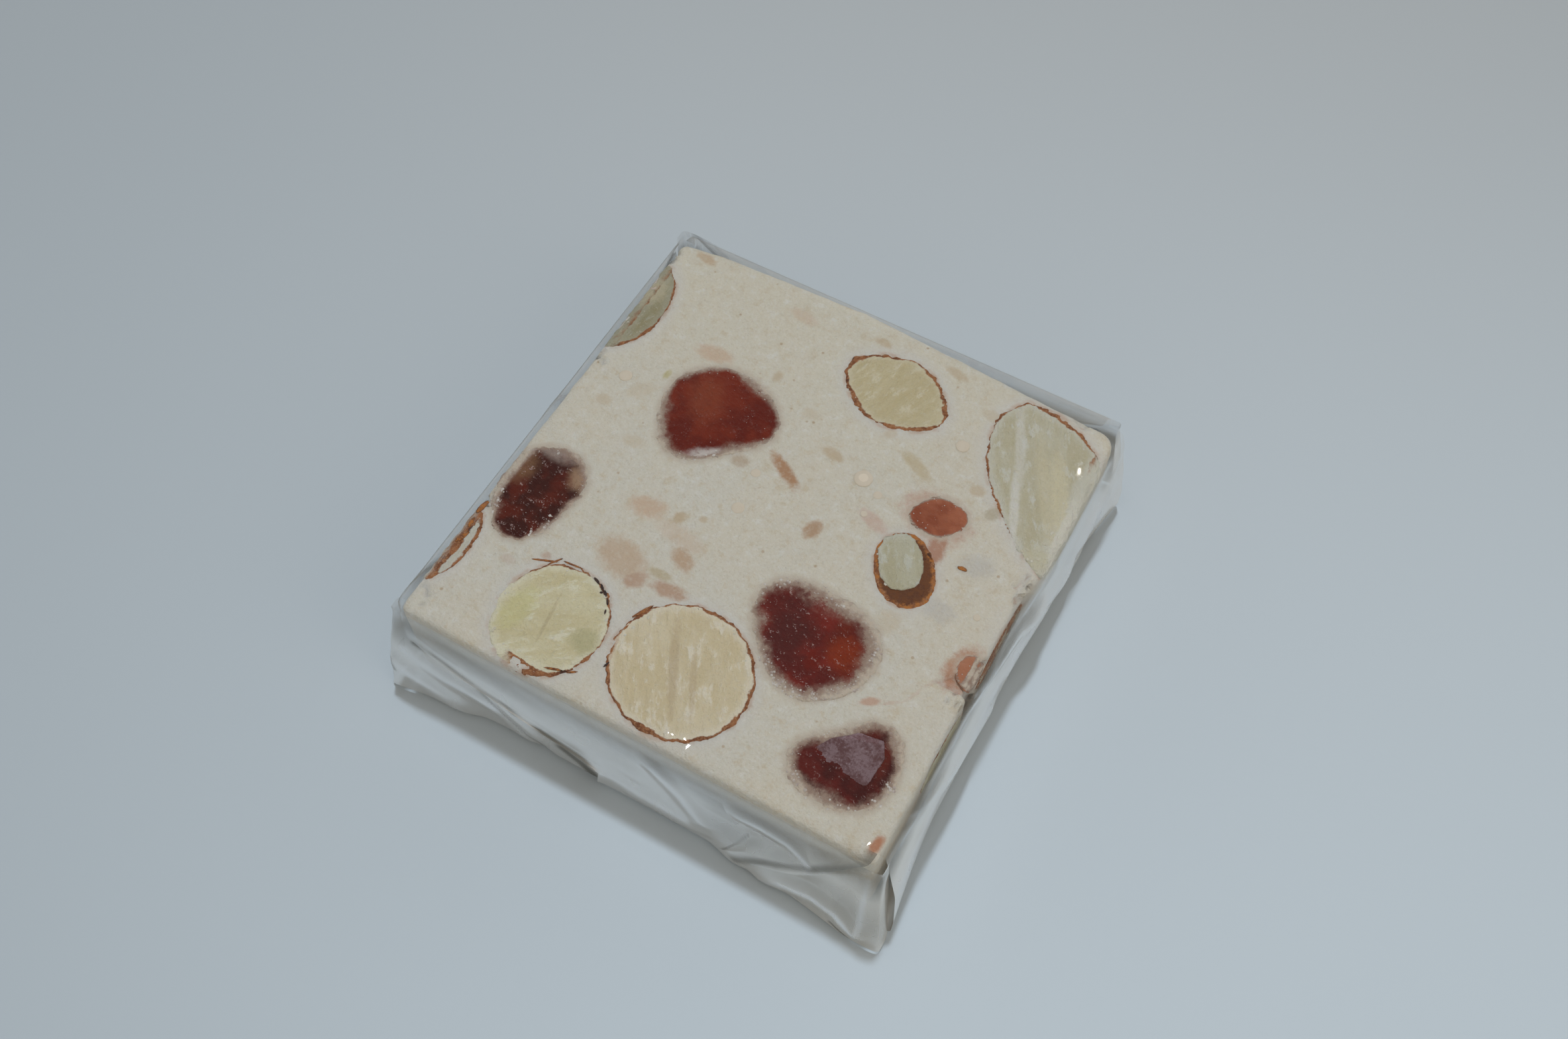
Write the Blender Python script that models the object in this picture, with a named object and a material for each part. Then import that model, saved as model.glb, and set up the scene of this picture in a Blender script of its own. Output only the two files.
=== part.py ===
"""A square nougat bar with almonds and candied cherries, sealed in clear film.

The slab lies flat. Its cut faces slice through the kernels and the cherries
that are bedded in it, so each of those pieces ends flush with a face of the
slab. The film is a close shell around the slab. Its two ends are folded under
like a parcel's, and its lap seam runs along the underside between them.

Sizes are in millimetres here and become metres as each mesh is made.
"""

import math

import bmesh
import bpy
from mathutils import Matrix, Vector

MM = 0.001

# The pack
PACK_HEIGHT = 15.0
EAR_REACH = Vector((27.0, 28.0))

# The film: a wall of FILM, held FIT off the nougat
FILM = 0.3
FIT = 0.3
FOLDED_FILM = 0.6
SEAM_WIDTH = 12.0
END_FLAP_WIDTH = 46.0
END_FLAP_POINT = 24.0
END_FLAP_REACH = 14.0
SLIT_WIDTH = 0.6
EAR_HEIGHT = 7.0
EAR_FOOT = 5.0

# The slab: half its length, half its width, and where its walls bulge
HALF_X = 25.0
HALF_Y = 26.0
BULGE = 1.0
SLAB_TOP = PACK_HEIGHT - FILM - FIT
SLAB_BOTTOM = FOLDED_FILM + FILM + FIT
SLAB_HEIGHT = SLAB_TOP - SLAB_BOTTOM
EDGE_RADIUS = 0.9

# The bedded pieces
SEGMENTS = 20
RINGS = 6


# ---------------------------------------------------------------- helpers


def clear_scene():
    """Start from an empty scene."""
    for item in list(bpy.data.objects):
        bpy.data.objects.remove(item, do_unlink=True)


def material(name, colour, roughness, alpha=1.0):
    """A Principled material in a linear colour."""
    made = bpy.data.materials.new(name)
    made.use_nodes = True
    shader = made.node_tree.nodes["Principled BSDF"]
    shader.inputs["Base Color"].default_value = (*colour, 1.0)
    shader.inputs["Roughness"].default_value = roughness
    shader.inputs["Metallic"].default_value = 0.0
    shader.inputs["Alpha"].default_value = alpha
    return made


def add_object(name, mesh, finish=None):
    """Put a bmesh that is in millimetres into the scene as a named object."""
    bmesh.ops.scale(mesh, vec=(MM, MM, MM), verts=mesh.verts)
    bmesh.ops.recalc_face_normals(mesh, faces=mesh.faces)
    data = bpy.data.meshes.new(name)
    mesh.to_mesh(data)
    mesh.free()
    data.shade_smooth()
    data.set_sharp_from_angle(angle=math.radians(35))
    made = bpy.data.objects.new(name, data)
    bpy.context.scene.collection.objects.link(made)
    if finish is not None:
        data.materials.append(finish)
    return made


def as_cutter(item):
    """Hide a helper from renders and from the finished part."""
    item.hide_render = True
    item.display_type = "WIRE"
    return item


def boolean(item, operation, other):
    """Cut, join or intersect with another object."""
    step = item.modifiers.new(other.name, "BOOLEAN")
    step.operation = operation
    step.solver = "EXACT"
    step.object = other


# ------------------------------------------------------------------- slab


def slab_outline(grow):
    """The slab seen from above, moved outwards by grow.

    The near and left walls are straight. The right wall swells over its rear
    half, and the rear wall is bowed with its right end cut back.
    """
    near, rear, right = -HALF_Y - grow, HALF_Y + grow, HALF_X + grow
    left = -right
    return (
        (left, near),
        (right, near),
        (right, 3.5),
        (right + BULGE, 7.5),
        (right + BULGE, rear - 2.4),
        (right - 8.0, rear - BULGE),
        (-3.0, rear + 0.3),
        (left + 5.0, rear - 0.3),
        (left, rear - BULGE),
    )


def prism(outline, low, high):
    """A bmesh that stands an outline between two heights."""
    mesh = bmesh.new()
    corners = [mesh.verts.new((x, y, low)) for x, y in outline]
    face = mesh.faces.new(corners)
    raised = bmesh.ops.extrude_face_region(mesh, geom=[face])["geom"]
    top = [item for item in raised if isinstance(item, bmesh.types.BMVert)]
    bmesh.ops.translate(mesh, vec=(0, 0, high - low), verts=top)
    return mesh


def rounded_block(name, grow, finish=None):
    """The slab's shape grown on every side, with its edges rounded over."""
    mesh = prism(slab_outline(grow), SLAB_BOTTOM - grow, SLAB_TOP + grow)
    block = add_object(name, mesh, finish)
    bevel = block.modifiers.new("edges", "BEVEL")
    bevel.width = (EDGE_RADIUS + grow) * MM
    bevel.segments = 3
    bevel.limit_method = "ANGLE"
    bevel.angle_limit = math.radians(40)
    return block


# ---------------------------------------------------------- bedded pieces


def radius_at(angle, length, width, turn, fullness, corner):
    """The reach of a closed outline at an angle, all angles in degrees.

    fullness 2 is an ellipse, less draws the ends to points, and more squares
    them. corner is how far three evenly spaced corners stand out, and the
    direction of one of them.
    """
    local = math.radians(angle - turn)
    along = abs(math.cos(local) / (length / 2)) ** fullness
    across = abs(math.sin(local) / (width / 2)) ** fullness
    amount, direction = corner
    lobes = 1 + amount * math.cos(3 * math.radians(angle - direction))
    return lobes / (along + across) ** (1 / fullness)


def bedded_mesh(at, size, turn, fullness, corner, grow):
    """A whole kernel or cherry around a point that is given from the slab's top."""
    length, width, height = (side + 2 * grow for side in size)
    centre = Vector((at[0], at[1], SLAB_TOP + at[2]))
    mesh = bmesh.new()
    rings = []
    for ring in range(1, RINGS):
        slope = math.pi * ring / RINGS
        points = []
        for segment in range(SEGMENTS):
            angle = 360 * segment / SEGMENTS
            reach = radius_at(angle, length, width, turn, fullness, corner)
            reach *= math.sin(slope)
            bearing = math.radians(angle)
            offset = (
                reach * math.cos(bearing),
                reach * math.sin(bearing),
                height / 2 * math.cos(slope),
            )
            points.append(mesh.verts.new(centre + Vector(offset)))
        rings.append(points)
    for upper, lower in zip(rings, rings[1:]):
        for i in range(SEGMENTS):
            j = (i + 1) % SEGMENTS
            mesh.faces.new((upper[i], lower[i], lower[j], upper[j]))
    for ring, side in ((rings[0], 1), (rings[-1], -1)):
        pole = mesh.verts.new(centre + Vector((0, 0, side * height / 2)))
        for i in range(SEGMENTS):
            mesh.faces.new((pole, ring[i], ring[(i + 1) % SEGMENTS]))
    return mesh


def bed(slab, block, name, finish, at, size, turn=0, fullness=2.0, corner=(0.0, 0)):
    """Set a piece in the slab, flush with each face that slices it."""
    mesh = bedded_mesh(at, size, turn, fullness, corner, 0.0)
    piece = add_object(name, mesh, finish)
    boolean(piece, "INTERSECT", block)
    room = bedded_mesh(at, size, turn, fullness, corner, FIT)
    boolean(slab, "DIFFERENCE", as_cutter(add_object(name + "_pocket", room)))


def set_almonds(slab, block, finish):
    """Kernels that show on the top, on the walls and on the underside."""

    def almond(name, at, size, **shape):
        bed(slab, block, "almond_" + name, finish, at, size, **shape)

    under = -SLAB_HEIGHT
    almond("front", (1.3, -18.7, 0), (14.4, 13.4, 16), turn=-20)
    almond("front_left", (-11.9, -20.1, 0), (11.7, 11.1, 14), turn=90, fullness=2.15)
    almond("rear", (4.2, 18.5, 0), (12.6, 9.0, 9), turn=-12, fullness=1.65)
    almond("right", (22.6, 15.4, 0), (22.4, 11.6, 8), turn=-51, fullness=2.0, corner=(0.03, 180))
    almond("left", (-25.8, 15.2, 0), (13.4, 8.8, 9), turn=90)
    almond("small", (14.2, 0.6, 0), (8.2, 5.8, 6), turn=124, fullness=2.4)
    almond("low_left", (-25.3, -18.1, 0), (9.8, 5.2, 7), turn=86)
    almond("right_wall", (25.0, -0.7, -3.2), (10.5, 3.6, 5), turn=90)
    almond("right_wall_near", (25.0, -12.7, -3.6), (9.0, 3.4, 5), turn=90)
    almond("left_wall", (-25.0, 2.0, -7.5), (12.0, 4.5, 7), turn=90)
    almond("rear_wall", (5.0, 26.2, -8.0), (14.0, 5.0, 7))
    almond("under", (-9.0, -7.0, under), (14.0, 9.0, 7), turn=25, fullness=1.8)
    almond("under_rear", (-8.0, 15.0, under), (12.0, 11.0, 8), turn=10)


def set_cherries(slab, block, finish):
    """Candied cherries and their scraps, rounder than the kernels."""

    def cherry(name, at, size, **shape):
        bed(slab, block, "cherry_" + name, finish, at, size, **shape)

    under = -SLAB_HEIGHT
    cherry("rear", (-10.4, 7.3, 0), (12.2, 11.0, 9), turn=40, fullness=2.6, corner=(0.08, 15))
    cherry("front", (10.2, -10.0, 0), (13.6, 10.8, 10), turn=-20, corner=(0.08, 33))
    cherry("front_right", (18.8, -19.3, 0), (10.4, 8.0, 9), turn=42, fullness=2.4, corner=(0.1, 76))
    cherry("left", (-20.9, -8.9, 0), (11.6, 8.4, 9), turn=92, corner=(0.08, 40))
    cherry("small", (14.5, 7.4, 0), (6.0, 4.6, 4), turn=25, fullness=1.6)
    cherry("right_edge", (24.6, -5.9, 0), (3.8, 3.2, 2.6), turn=130)
    cherry("rear_wall", (-13.0, 26.0, -6.5), (9.0, 5.0, 7))
    cherry("under", (11.0, 6.0, under), (12.0, 10.0, 8), turn=60, corner=(0.06, 20))


# ------------------------------------------------------------------- film


def hull(name, points):
    """The convex solid around some points."""
    mesh = bmesh.new()
    corners = [mesh.verts.new(point) for point in points]
    bmesh.ops.convex_hull(mesh, input=corners)
    return as_cutter(add_object(name, mesh))


def corner_ear(side_x, side_y):
    """The pinched fold that stands out at a lower corner of the film."""
    wall = FILM / 2 + FIT
    x, y = HALF_X + wall, HALF_Y - 1.2
    sides = Vector((side_x, side_y))
    low = FOLDED_FILM / 2
    foot = (
        EAR_REACH,
        Vector((x - EAR_FOOT, y)),
        Vector((x, y - EAR_FOOT)),
        Vector((x - EAR_FOOT, y - EAR_FOOT)),
    )
    points = [(*(spot * sides), low) for spot in foot]
    points.append((*(EAR_REACH * sides), low + FOLDED_FILM))
    points.append((*(foot[3] * sides), low + FOLDED_FILM))
    points.append((*(Vector((x - 0.6, y)) * sides), EAR_HEIGHT))
    return hull(f"ear_{side_x}_{side_y}", points)


def end_flap(side):
    """The end of the film, folded under as a flap that narrows inwards."""
    outer, inner = END_FLAP_WIDTH / 2, END_FLAP_POINT / 2
    start = side * (HALF_Y - EDGE_RADIUS)
    finish = start - side * END_FLAP_REACH
    outline = ((-outer, start), (outer, start), (inner, finish), (-inner, finish))
    mesh = prism(outline, 0.0, FOLDED_FILM + FILM / 2)
    return as_cutter(add_object(f"end_flap_{side}", mesh))


def lap_seam():
    """The doubled film of the seam, from end flap to end flap."""
    half, reach = SEAM_WIDTH / 2, HALF_Y - END_FLAP_REACH
    outline = ((-half, -reach), (half, -reach), (half, reach), (-half, reach))
    mesh = prism(outline, 0.0, FOLDED_FILM + FILM / 2)
    return as_cutter(add_object("lap_seam", mesh))


def seam_opening():
    """The slit beside the seam, where the film's free edge lets air in."""
    mesh = bmesh.new()
    middle = SEAM_WIDTH / 2 + SLIT_WIDTH
    length = 2 * (HALF_Y - END_FLAP_REACH) - 6.0
    shape = Matrix.LocRotScale(
        Vector((middle, 0, FOLDED_FILM)), None, Vector((SLIT_WIDTH, length, 4 * FILM))
    )
    bmesh.ops.create_cube(mesh, size=1.0, matrix=shape)
    return as_cutter(add_object("seam_opening", mesh))


def make_wrapper(finish):
    """The film: an outer block with ears and folds, less the room inside."""
    wrapper = rounded_block("wrapper", FIT + FILM, finish)
    for side in (-1, 1):
        boolean(wrapper, "UNION", end_flap(side))
    boolean(wrapper, "UNION", lap_seam())
    for side_x in (-1, 1):
        for side_y in (-1, 1):
            boolean(wrapper, "UNION", corner_ear(side_x, side_y))
    boolean(wrapper, "DIFFERENCE", as_cutter(rounded_block("film_room", FIT)))
    boolean(wrapper, "DIFFERENCE", seam_opening())
    return wrapper


def main():
    clear_scene()
    nougat_finish = material("nougat", (0.80, 0.74, 0.66), 0.55)
    almond_finish = material("almond", (0.62, 0.55, 0.38), 0.6)
    cherry_finish = material("cherry", (0.22, 0.03, 0.02), 0.35)
    film_finish = material("clear_film", (0.85, 0.87, 0.88), 0.08, alpha=0.25)
    slab = rounded_block("nougat", 0.0, nougat_finish)
    block = as_cutter(rounded_block("slab_block", 0.0))
    set_almonds(slab, block, almond_finish)
    set_cherries(slab, block, cherry_finish)
    make_wrapper(film_finish)


main()
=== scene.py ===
# %% [markdown]
# # A wrapped square of nougat
#
# The piece is a square slice of white nougat. A knife has gone through the almonds and the
# candied cherries that are bedded in it, so each of them shows a flat cut face, level with
# the slab. Clear film clings to the top, and its two ends are folded over the walls like the
# ends of a parcel.
#
# A fixed model gives every piece its place. This script makes the looks around it: the
# crumb of the nougat, the fibres of the kernels, the frost on the cherries and the film.
#
# Sizes here are in metres, as Blender's are, so `MM` turns a size in millimetres into one.

# %% Load the frame
import math

import bmesh
import bpy
import numpy as np
from mathutils import Euler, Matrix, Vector
from mathutils.bvhtree import BVHTree


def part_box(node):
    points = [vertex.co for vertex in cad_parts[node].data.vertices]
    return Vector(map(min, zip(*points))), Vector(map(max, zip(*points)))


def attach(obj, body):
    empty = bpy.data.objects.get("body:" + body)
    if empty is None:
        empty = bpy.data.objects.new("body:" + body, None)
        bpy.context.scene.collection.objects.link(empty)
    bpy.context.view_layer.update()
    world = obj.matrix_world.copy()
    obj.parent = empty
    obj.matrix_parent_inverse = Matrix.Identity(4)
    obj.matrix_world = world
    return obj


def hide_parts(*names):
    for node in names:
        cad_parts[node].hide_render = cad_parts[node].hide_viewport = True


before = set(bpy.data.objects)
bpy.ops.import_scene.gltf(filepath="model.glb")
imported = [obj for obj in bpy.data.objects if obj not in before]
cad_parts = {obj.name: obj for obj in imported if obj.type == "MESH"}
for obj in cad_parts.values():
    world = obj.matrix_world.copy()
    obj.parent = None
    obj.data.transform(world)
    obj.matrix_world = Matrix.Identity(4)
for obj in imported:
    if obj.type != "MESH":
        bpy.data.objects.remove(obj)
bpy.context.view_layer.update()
MM = 0.001
slab_low, slab_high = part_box("nougat")
kernel_names = sorted(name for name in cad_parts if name.startswith("almond_"))
fruit_names = sorted(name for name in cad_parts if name.startswith("cherry_"))
print("slab, in mm:", [round(side / MM, 1) for side in slab_high - slab_low])
print(len(kernel_names), "almonds and", len(fruit_names), "cherries")

# %% [markdown]
# ## The camera, the lamps and the table
#
# A small thing on a table is looked at from close by and from above, so the camera stands
# 16 cm away and 59 degrees up. It is placed by the point it looks at, its turn round the
# bar and its height. That is easier to read than three coordinates, and easier to change.
#
# Nougat shows its grain best in light from above. Half of the light is a small key lamp, a
# little behind the bar and to its left: it draws the kernels' relief and a narrow shadow
# on the two sides that face the viewer. The other half is a wide lamp overhead. Both would
# lie as white sheets on the film, so they are hidden from mirror rays. The glints come
# from small lamps that stand where the flat film doesn't mirror them.

# %% Camera
TURN, HEIGHT, ROLL = math.radians(28.8), math.radians(59.18), math.radians(0.58)
LOOK_AT = Vector((-2.41, 7.17, 0.4)) * MM
DISTANCE = 158.6 * MM


def direction(turn, height):
    """The way from the bar to something at that turn and height, both in radians."""
    level = math.cos(height)
    return Vector((math.sin(turn) * level, -math.cos(turn) * level, math.sin(height)))


camera = bpy.data.objects.new("camera", bpy.data.cameras.new("camera"))
bpy.context.scene.collection.objects.link(camera)
bpy.context.scene.camera = camera
camera.data.lens = 34
camera.data.clip_start = 5 * MM
camera.location = LOOK_AT + direction(TURN, HEIGHT) * DISTANCE
tilt = Euler((math.pi / 2 - HEIGHT, 0, TURN)).to_matrix()
camera.rotation_euler = (tilt @ Euler((0, 0, ROLL)).to_matrix()).to_euler()
print("camera at", [round(value / MM, 1) for value in camera.location])


# %% Lamps
def add_lamp(name, place, size, power, glossy=True, tint=(1, 1, 1)):
    """A square lamp that faces the bar. Its place is in millimetres."""
    lamp = bpy.data.objects.new(name, bpy.data.lights.new(name, "AREA"))
    bpy.context.scene.collection.objects.link(lamp)
    lamp.location = Vector(place) * MM
    lamp.rotation_euler = lamp.location.to_track_quat("Z", "Y").to_euler()
    lamp.data.size = size * MM
    lamp.data.energy = power
    lamp.data.color = tint
    lamp.visible_glossy = glossy
    return lamp


add_lamp("key", (-23, 68, 420), 24, 0.56, False, (0.865, 0.965, 1.06))
add_lamp("soft_overhead", (30, -60, 430), 420, 0.23, False, (1.16, 1.02, 0.83))
add_lamp("right_fill", (260, -40, 210), 200, 0.08, False, (1.14, 1.02, 0.88))
add_lamp("rear_point", (-28, 354, 510), 2.4, 0.0005)
add_lamp("edge_point", (-36, 50, 418), 24, 0.04)
bpy.context.scene.view_settings.view_transform = "Standard"
bpy.context.scene.cycles.transparent_max_bounces = 32

# %% [markdown]
# ## A short way to write a material
#
# Every finish here is worked out by nodes: noise, distances and mixes. Written node by
# node, a formula as small as `(a + b) * c` fills a page. So one class wraps a socket. Plain
# arithmetic on it adds the Math nodes, and one method adds any other node.

# %% The shader helper
class Wire:
    """A shader socket. Arithmetic on it adds Math nodes, and add() adds any other node."""

    def __init__(self, tree, socket=None):
        self.tree = tree
        self.socket = socket

    def add(self, kind, settings=None, inputs=None, output=0):
        """A node of that kind, its settings first, then its sockets, as one output."""
        node = self.tree.nodes.new("ShaderNode" + kind)
        for name, value in (settings or {}).items():
            setattr(node, name, value)
        for key, value in (inputs or {}).items():
            socket = self.find(node.inputs, key)
            if isinstance(value, Wire):
                self.tree.links.new(value.socket, socket)
            elif isinstance(value, tuple) and socket.type == "RGBA":
                socket.default_value = (*value, 1.0)
            else:
                socket.default_value = value
        return Wire(self.tree, self.find(node.outputs, output))

    @staticmethod
    def find(sockets, key):
        """A socket by its number, or by its name among those in use."""
        if isinstance(key, int):
            return sockets[key]
        return next(s for s in sockets if s.name == key and not s.is_unavailable)

    def math(self, operation, first, second=0.0):
        return self.add("Math", {"operation": operation}, {0: first, 1: second})

    def __add__(self, other):
        return self.math("ADD", self, other)

    __radd__ = __add__

    def __sub__(self, other):
        return self.math("SUBTRACT", self, other)

    def __rsub__(self, other):
        return self.math("SUBTRACT", other, self)

    def __mul__(self, other):
        return self.math("MULTIPLY", self, other)

    __rmul__ = __mul__

    def __truediv__(self, other):
        return self.math("DIVIDE", self, other)

    def __rtruediv__(self, other):
        return self.math("DIVIDE", other, self)

    def power(self, other):
        return self.math("POWER", self, other)

    def least(self, other):
        return self.math("MINIMUM", self, other)

    def most(self, other):
        return self.math("MAXIMUM", self, other)

    def rise(self, low, high):
        """0 below low, 1 above high, and a smooth rise between them."""
        settings = {"interpolation_type": "SMOOTHSTEP"}
        return self.add("MapRange", settings, {"Value": self, "From Min": low, "From Max": high})

    def mix(self, first, second):
        """The first colour where this is 0, the second where it is 1."""
        settings = {"data_type": "RGBA"}
        return self.add("Mix", settings, {"Factor": self, "A": first, "B": second}, "Result")

    def place(self):
        """Where a point is on the object."""
        return self.add("TexCoord", output="Object")

    def turned(self, centre=(0, 0), turn=0.0, stretch=(1, 1, 1)):
        """Object coordinates about a centre in mm, turned in degrees, then stretched."""
        middle = (centre[0] * MM, centre[1] * MM, 0)
        settings = {"vector_type": "TEXTURE"}
        angles = (0, 0, math.radians(turn))
        inputs = {"Vector": self.place(), "Location": middle, "Rotation": angles}
        inputs["Scale"] = tuple(stretch)
        return self.add("Mapping", settings, inputs)

    def noise(self, size, detail=2.0, roughness=0.5, vector=None):
        """Soft noise from 0 to 1 whose lumps are size millimetres wide."""
        inputs = {"Vector": vector or self.place(), "Scale": 1 / (size * MM)}
        inputs.update({"Detail": detail, "Roughness": roughness})
        return self.add("TexNoise", None, inputs)

    def cells(self, size, output="Distance", vector=None):
        """Cells of about size millimetres: the distance to a cell's middle, or its colour."""
        inputs = {"Vector": vector or self.place(), "Scale": 1 / (size * MM)}
        return self.add("TexVoronoi", None, inputs, output)

    def attribute(self, name, output="Fac"):
        """A value or a colour that is stored on the mesh."""
        return self.add("Attribute", {"attribute_name": name}, None, output)

    def bump(self, height, depth, strength=1.0):
        """A normal from a height of 0 to 1 that stands for depth millimetres."""
        inputs = {"Height": height, "Distance": depth * MM, "Strength": strength}
        return self.add("Bump", None, inputs, "Normal")


def new_material(name):
    """An empty material, its output node and a wire to build from."""
    made = bpy.data.materials.new(name)
    made.use_nodes = True
    tree = made.node_tree
    tree.nodes.clear()
    output = tree.nodes.new("ShaderNodeOutputMaterial")
    return made, output, Wire(tree)


def principled(name, inputs):
    """A material whose one shader is a Principled BSDF. inputs takes a wire, gives sockets."""
    made, output, wire = new_material(name)
    shader = wire.add("BsdfPrincipled", None, inputs(wire))
    made.node_tree.links.new(shader.socket, output.inputs["Surface"])
    return made


def table_inputs(wire):
    seen = wire.turned(turn=math.degrees(TURN))
    depth = wire.add("SeparateXYZ", None, {0: seen}, "Y")
    side = wire.add("SeparateXYZ", None, {0: seen}, "X")
    # Painted shade: the table is darker and greyer towards the back and to the left, a painted
    # falloff of the light across it.
    tint = depth.rise(-110 * MM, 130 * MM).mix((0.755, 0.87, 0.97), (0.58, 0.615, 0.64))
    tint = (side.rise(10 * MM, -100 * MM) * 0.6).mix(tint, (0.53, 0.60, 0.66))
    grain = wire.noise(0.5, 3)
    return {"Base Color": tint, "Roughness": 0.5, "Normal": wire.bump(grain, 0.02, 0.3)}


print("the helper is ready")

# %% [markdown]
# ## The room
#
# The room is a plain sky. Near the horizon it is pale, because the film's slanted walls
# mirror that part, and against a dark room every edge of the film would turn black. High
# up it is dim, so that the film over the top face stays clear.

# %% Room
PALE_WALL, DIM_CEILING = (0.50, 0.49, 0.46), (0.052, 0.052, 0.050)
world = bpy.data.worlds.new("room")
bpy.context.scene.world = world
world.use_nodes = True
wire = Wire(world.node_tree)
upward = wire.add("SeparateXYZ", None, {0: wire.add("TexCoord", output="Generated")}, "Z")
sky = upward.rise(0.35, 0.8).mix(PALE_WALL, DIM_CEILING)
world.node_tree.links.new(sky.socket, world.node_tree.nodes["Background"].inputs["Color"])
print("the room is", world.name)

# %% Table
bpy.ops.object.select_all(action="DESELECT")
bpy.ops.mesh.primitive_plane_add(size=6)
table = bpy.context.object
table.name = "table"
table.data.materials.append(principled("table", table_inputs))
print("table:", table.dimensions.x, "m wide")

# %% [markdown]
# ## The tools of the bench
#
# A few steps come back for every piece: make it the only one that is selected, select some
# of its faces or edges by where they lie, apply a modifier. Each becomes a small function,
# so that the cells below read like a list of moves.

# %% Bench helpers
ROOT = "root"


def work_on(piece, mode="OBJECT"):
    """Makes the piece the only one selected, and opens it in that mode."""
    if bpy.context.object and bpy.context.object.mode != "OBJECT":
        bpy.ops.object.mode_set(mode="OBJECT")
    bpy.ops.object.select_all(action="DESELECT")
    bpy.context.view_layer.objects.active = piece
    piece.select_set(True)
    bpy.ops.object.mode_set(mode=mode)


def pick(piece, kind, test):
    """Selects the verts, edges or faces of the open piece that pass the test."""
    bpy.ops.mesh.select_all(action="DESELECT")
    mesh = bmesh.from_edit_mesh(piece.data)
    for element in getattr(mesh, kind):
        if test(element):
            element.select_set(True)
    bmesh.update_edit_mesh(piece.data)


def modify(piece, kind, **settings):
    """Adds a modifier, sets it and applies it."""
    work_on(piece)
    modifier = piece.modifiers.new(kind.lower(), kind)
    for name, value in settings.items():
        setattr(modifier, name, value)
    bpy.ops.object.modifier_apply(modifier=modifier.name)


def lumps(size, depth=2):
    """A cloud texture for a Displace modifier, its lumps size millimetres wide."""
    texture = bpy.data.textures.new(f"lumps_{size:g}_{depth}", "CLOUDS")
    texture.noise_scale = size * MM
    texture.noise_depth = depth
    return texture


def press(piece, size, height, way="NORMAL", depth=2):
    """Pushes the surface in and out by height millimetres, in lumps of that size."""
    texture = lumps(size, depth)
    modify(piece, "DISPLACE", texture=texture, strength=height * MM, direction=way)


def finish(piece, material, slot, *nodes):
    """Shades the piece smooth, gives it its material and ties it to the frame."""
    work_on(piece)
    bpy.ops.object.shade_smooth()
    piece.data.materials.clear()
    piece.data.materials.append(material)
    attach(piece, ROOT)
    if nodes:
        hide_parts(*nodes)
    return piece


def coordinates(piece):
    """The piece's points as an array of rows."""
    points = np.empty(len(piece.data.vertices) * 3, np.float32)
    piece.data.vertices.foreach_get("co", points)
    return points.reshape(-1, 3).astype(float)


def lay(piece, points):
    """Puts the piece's points where the rows say."""
    piece.data.vertices.foreach_set("co", points.astype(np.float32).ravel())
    piece.data.update()


def store(piece, name, values):
    """Keeps one number for each point, for the material to read."""
    layer = piece.data.attributes.new(name, "FLOAT", "POINT")
    layer.data.foreach_set("value", np.asarray(values, np.float32))


print("the bench is ready")

# %% [markdown]
# ## The slab
#
# Nougat is cut while it is a little soft. Its walls are nearly flat, its edges are slightly
# rounded, and the faces are mealy, with a slow waviness that the knife leaves.
#
# It could be sculpted, but a box that is cut, pushed and bevelled keeps its exact size. The
# box gets a few extra cuts so that the right wall can swell and the rear wall can bow. Then
# a voxel remesh gives it an even skin of small faces, and clouds of three sizes press the
# waviness, the lumps and the meal into it.

# %% Block out the slab
HALF_X, NEAR, REAR = 25 * MM, -26 * MM, 26 * MM
TOP, BOTTOM = slab_high.z, slab_low.z
SWELL_START, SWELL_FULL, SWELL_END = 3.5 * MM, 7.5 * MM, 23.6 * MM
SWELL = slab_high.x - HALF_X
BOW_CUTS = (-20 * MM, -3 * MM, 17 * MM)
BOW_STEPS = (0.7 * MM, 1.3 * MM, 0.0)


def cut(place, normal):
    """Cuts the open piece all round with a plane, and leaves the cut selected."""
    bpy.ops.mesh.select_all(action="SELECT")
    bpy.ops.mesh.bisect(plane_co=place, plane_no=normal)


bpy.ops.object.select_all(action="DESELECT")
middle = Vector((0, (NEAR + REAR - MM) / 2, (TOP + BOTTOM) / 2))
bpy.ops.mesh.primitive_cube_add(size=1, location=middle)
slab = bpy.context.object
slab.name = "nougat_slab"
slab.scale = (2 * HALF_X, REAR - MM - NEAR, TOP - BOTTOM)
bpy.ops.object.transform_apply(location=True, rotation=True, scale=True)
work_on(slab, "EDIT")
for y in (SWELL_START, SWELL_FULL, SWELL_END):
    cut((0, y, 0), (0, 1, 0))
for x in BOW_CUTS:
    cut((x, 0, 0), (1, 0, 0))
for x, step in zip(BOW_CUTS, BOW_STEPS):
    pick(slab, "verts", lambda v: abs(v.co.x - x) < 1e-6 and v.co.y > REAR - 1.01 * MM)
    bpy.ops.transform.translate(value=(0, step, 0))
pick(slab, "verts", lambda v: v.co.x > HALF_X - 1e-6 and SWELL_FULL - 1e-6 < v.co.y < 24 * MM)
bpy.ops.transform.translate(value=(SWELL, 0, 0))
pick(slab, "verts", lambda v: v.co.x > HALF_X - 1e-6 and v.co.y > 24 * MM)
bpy.ops.transform.translate(value=(-0.5 * MM, -0.4 * MM, 0))
print("the slab's box has", len(slab.data.vertices), "corners")

# %% Round, remesh and press the slab
EDGE, UNDER_EDGE = 0.8 * MM, 2.4 * MM
SLAB_VOXEL = 0.33 * MM


def is_corner(edge):
    return len(edge.link_faces) == 2 and edge.calc_face_angle() > math.radians(40)


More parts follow.
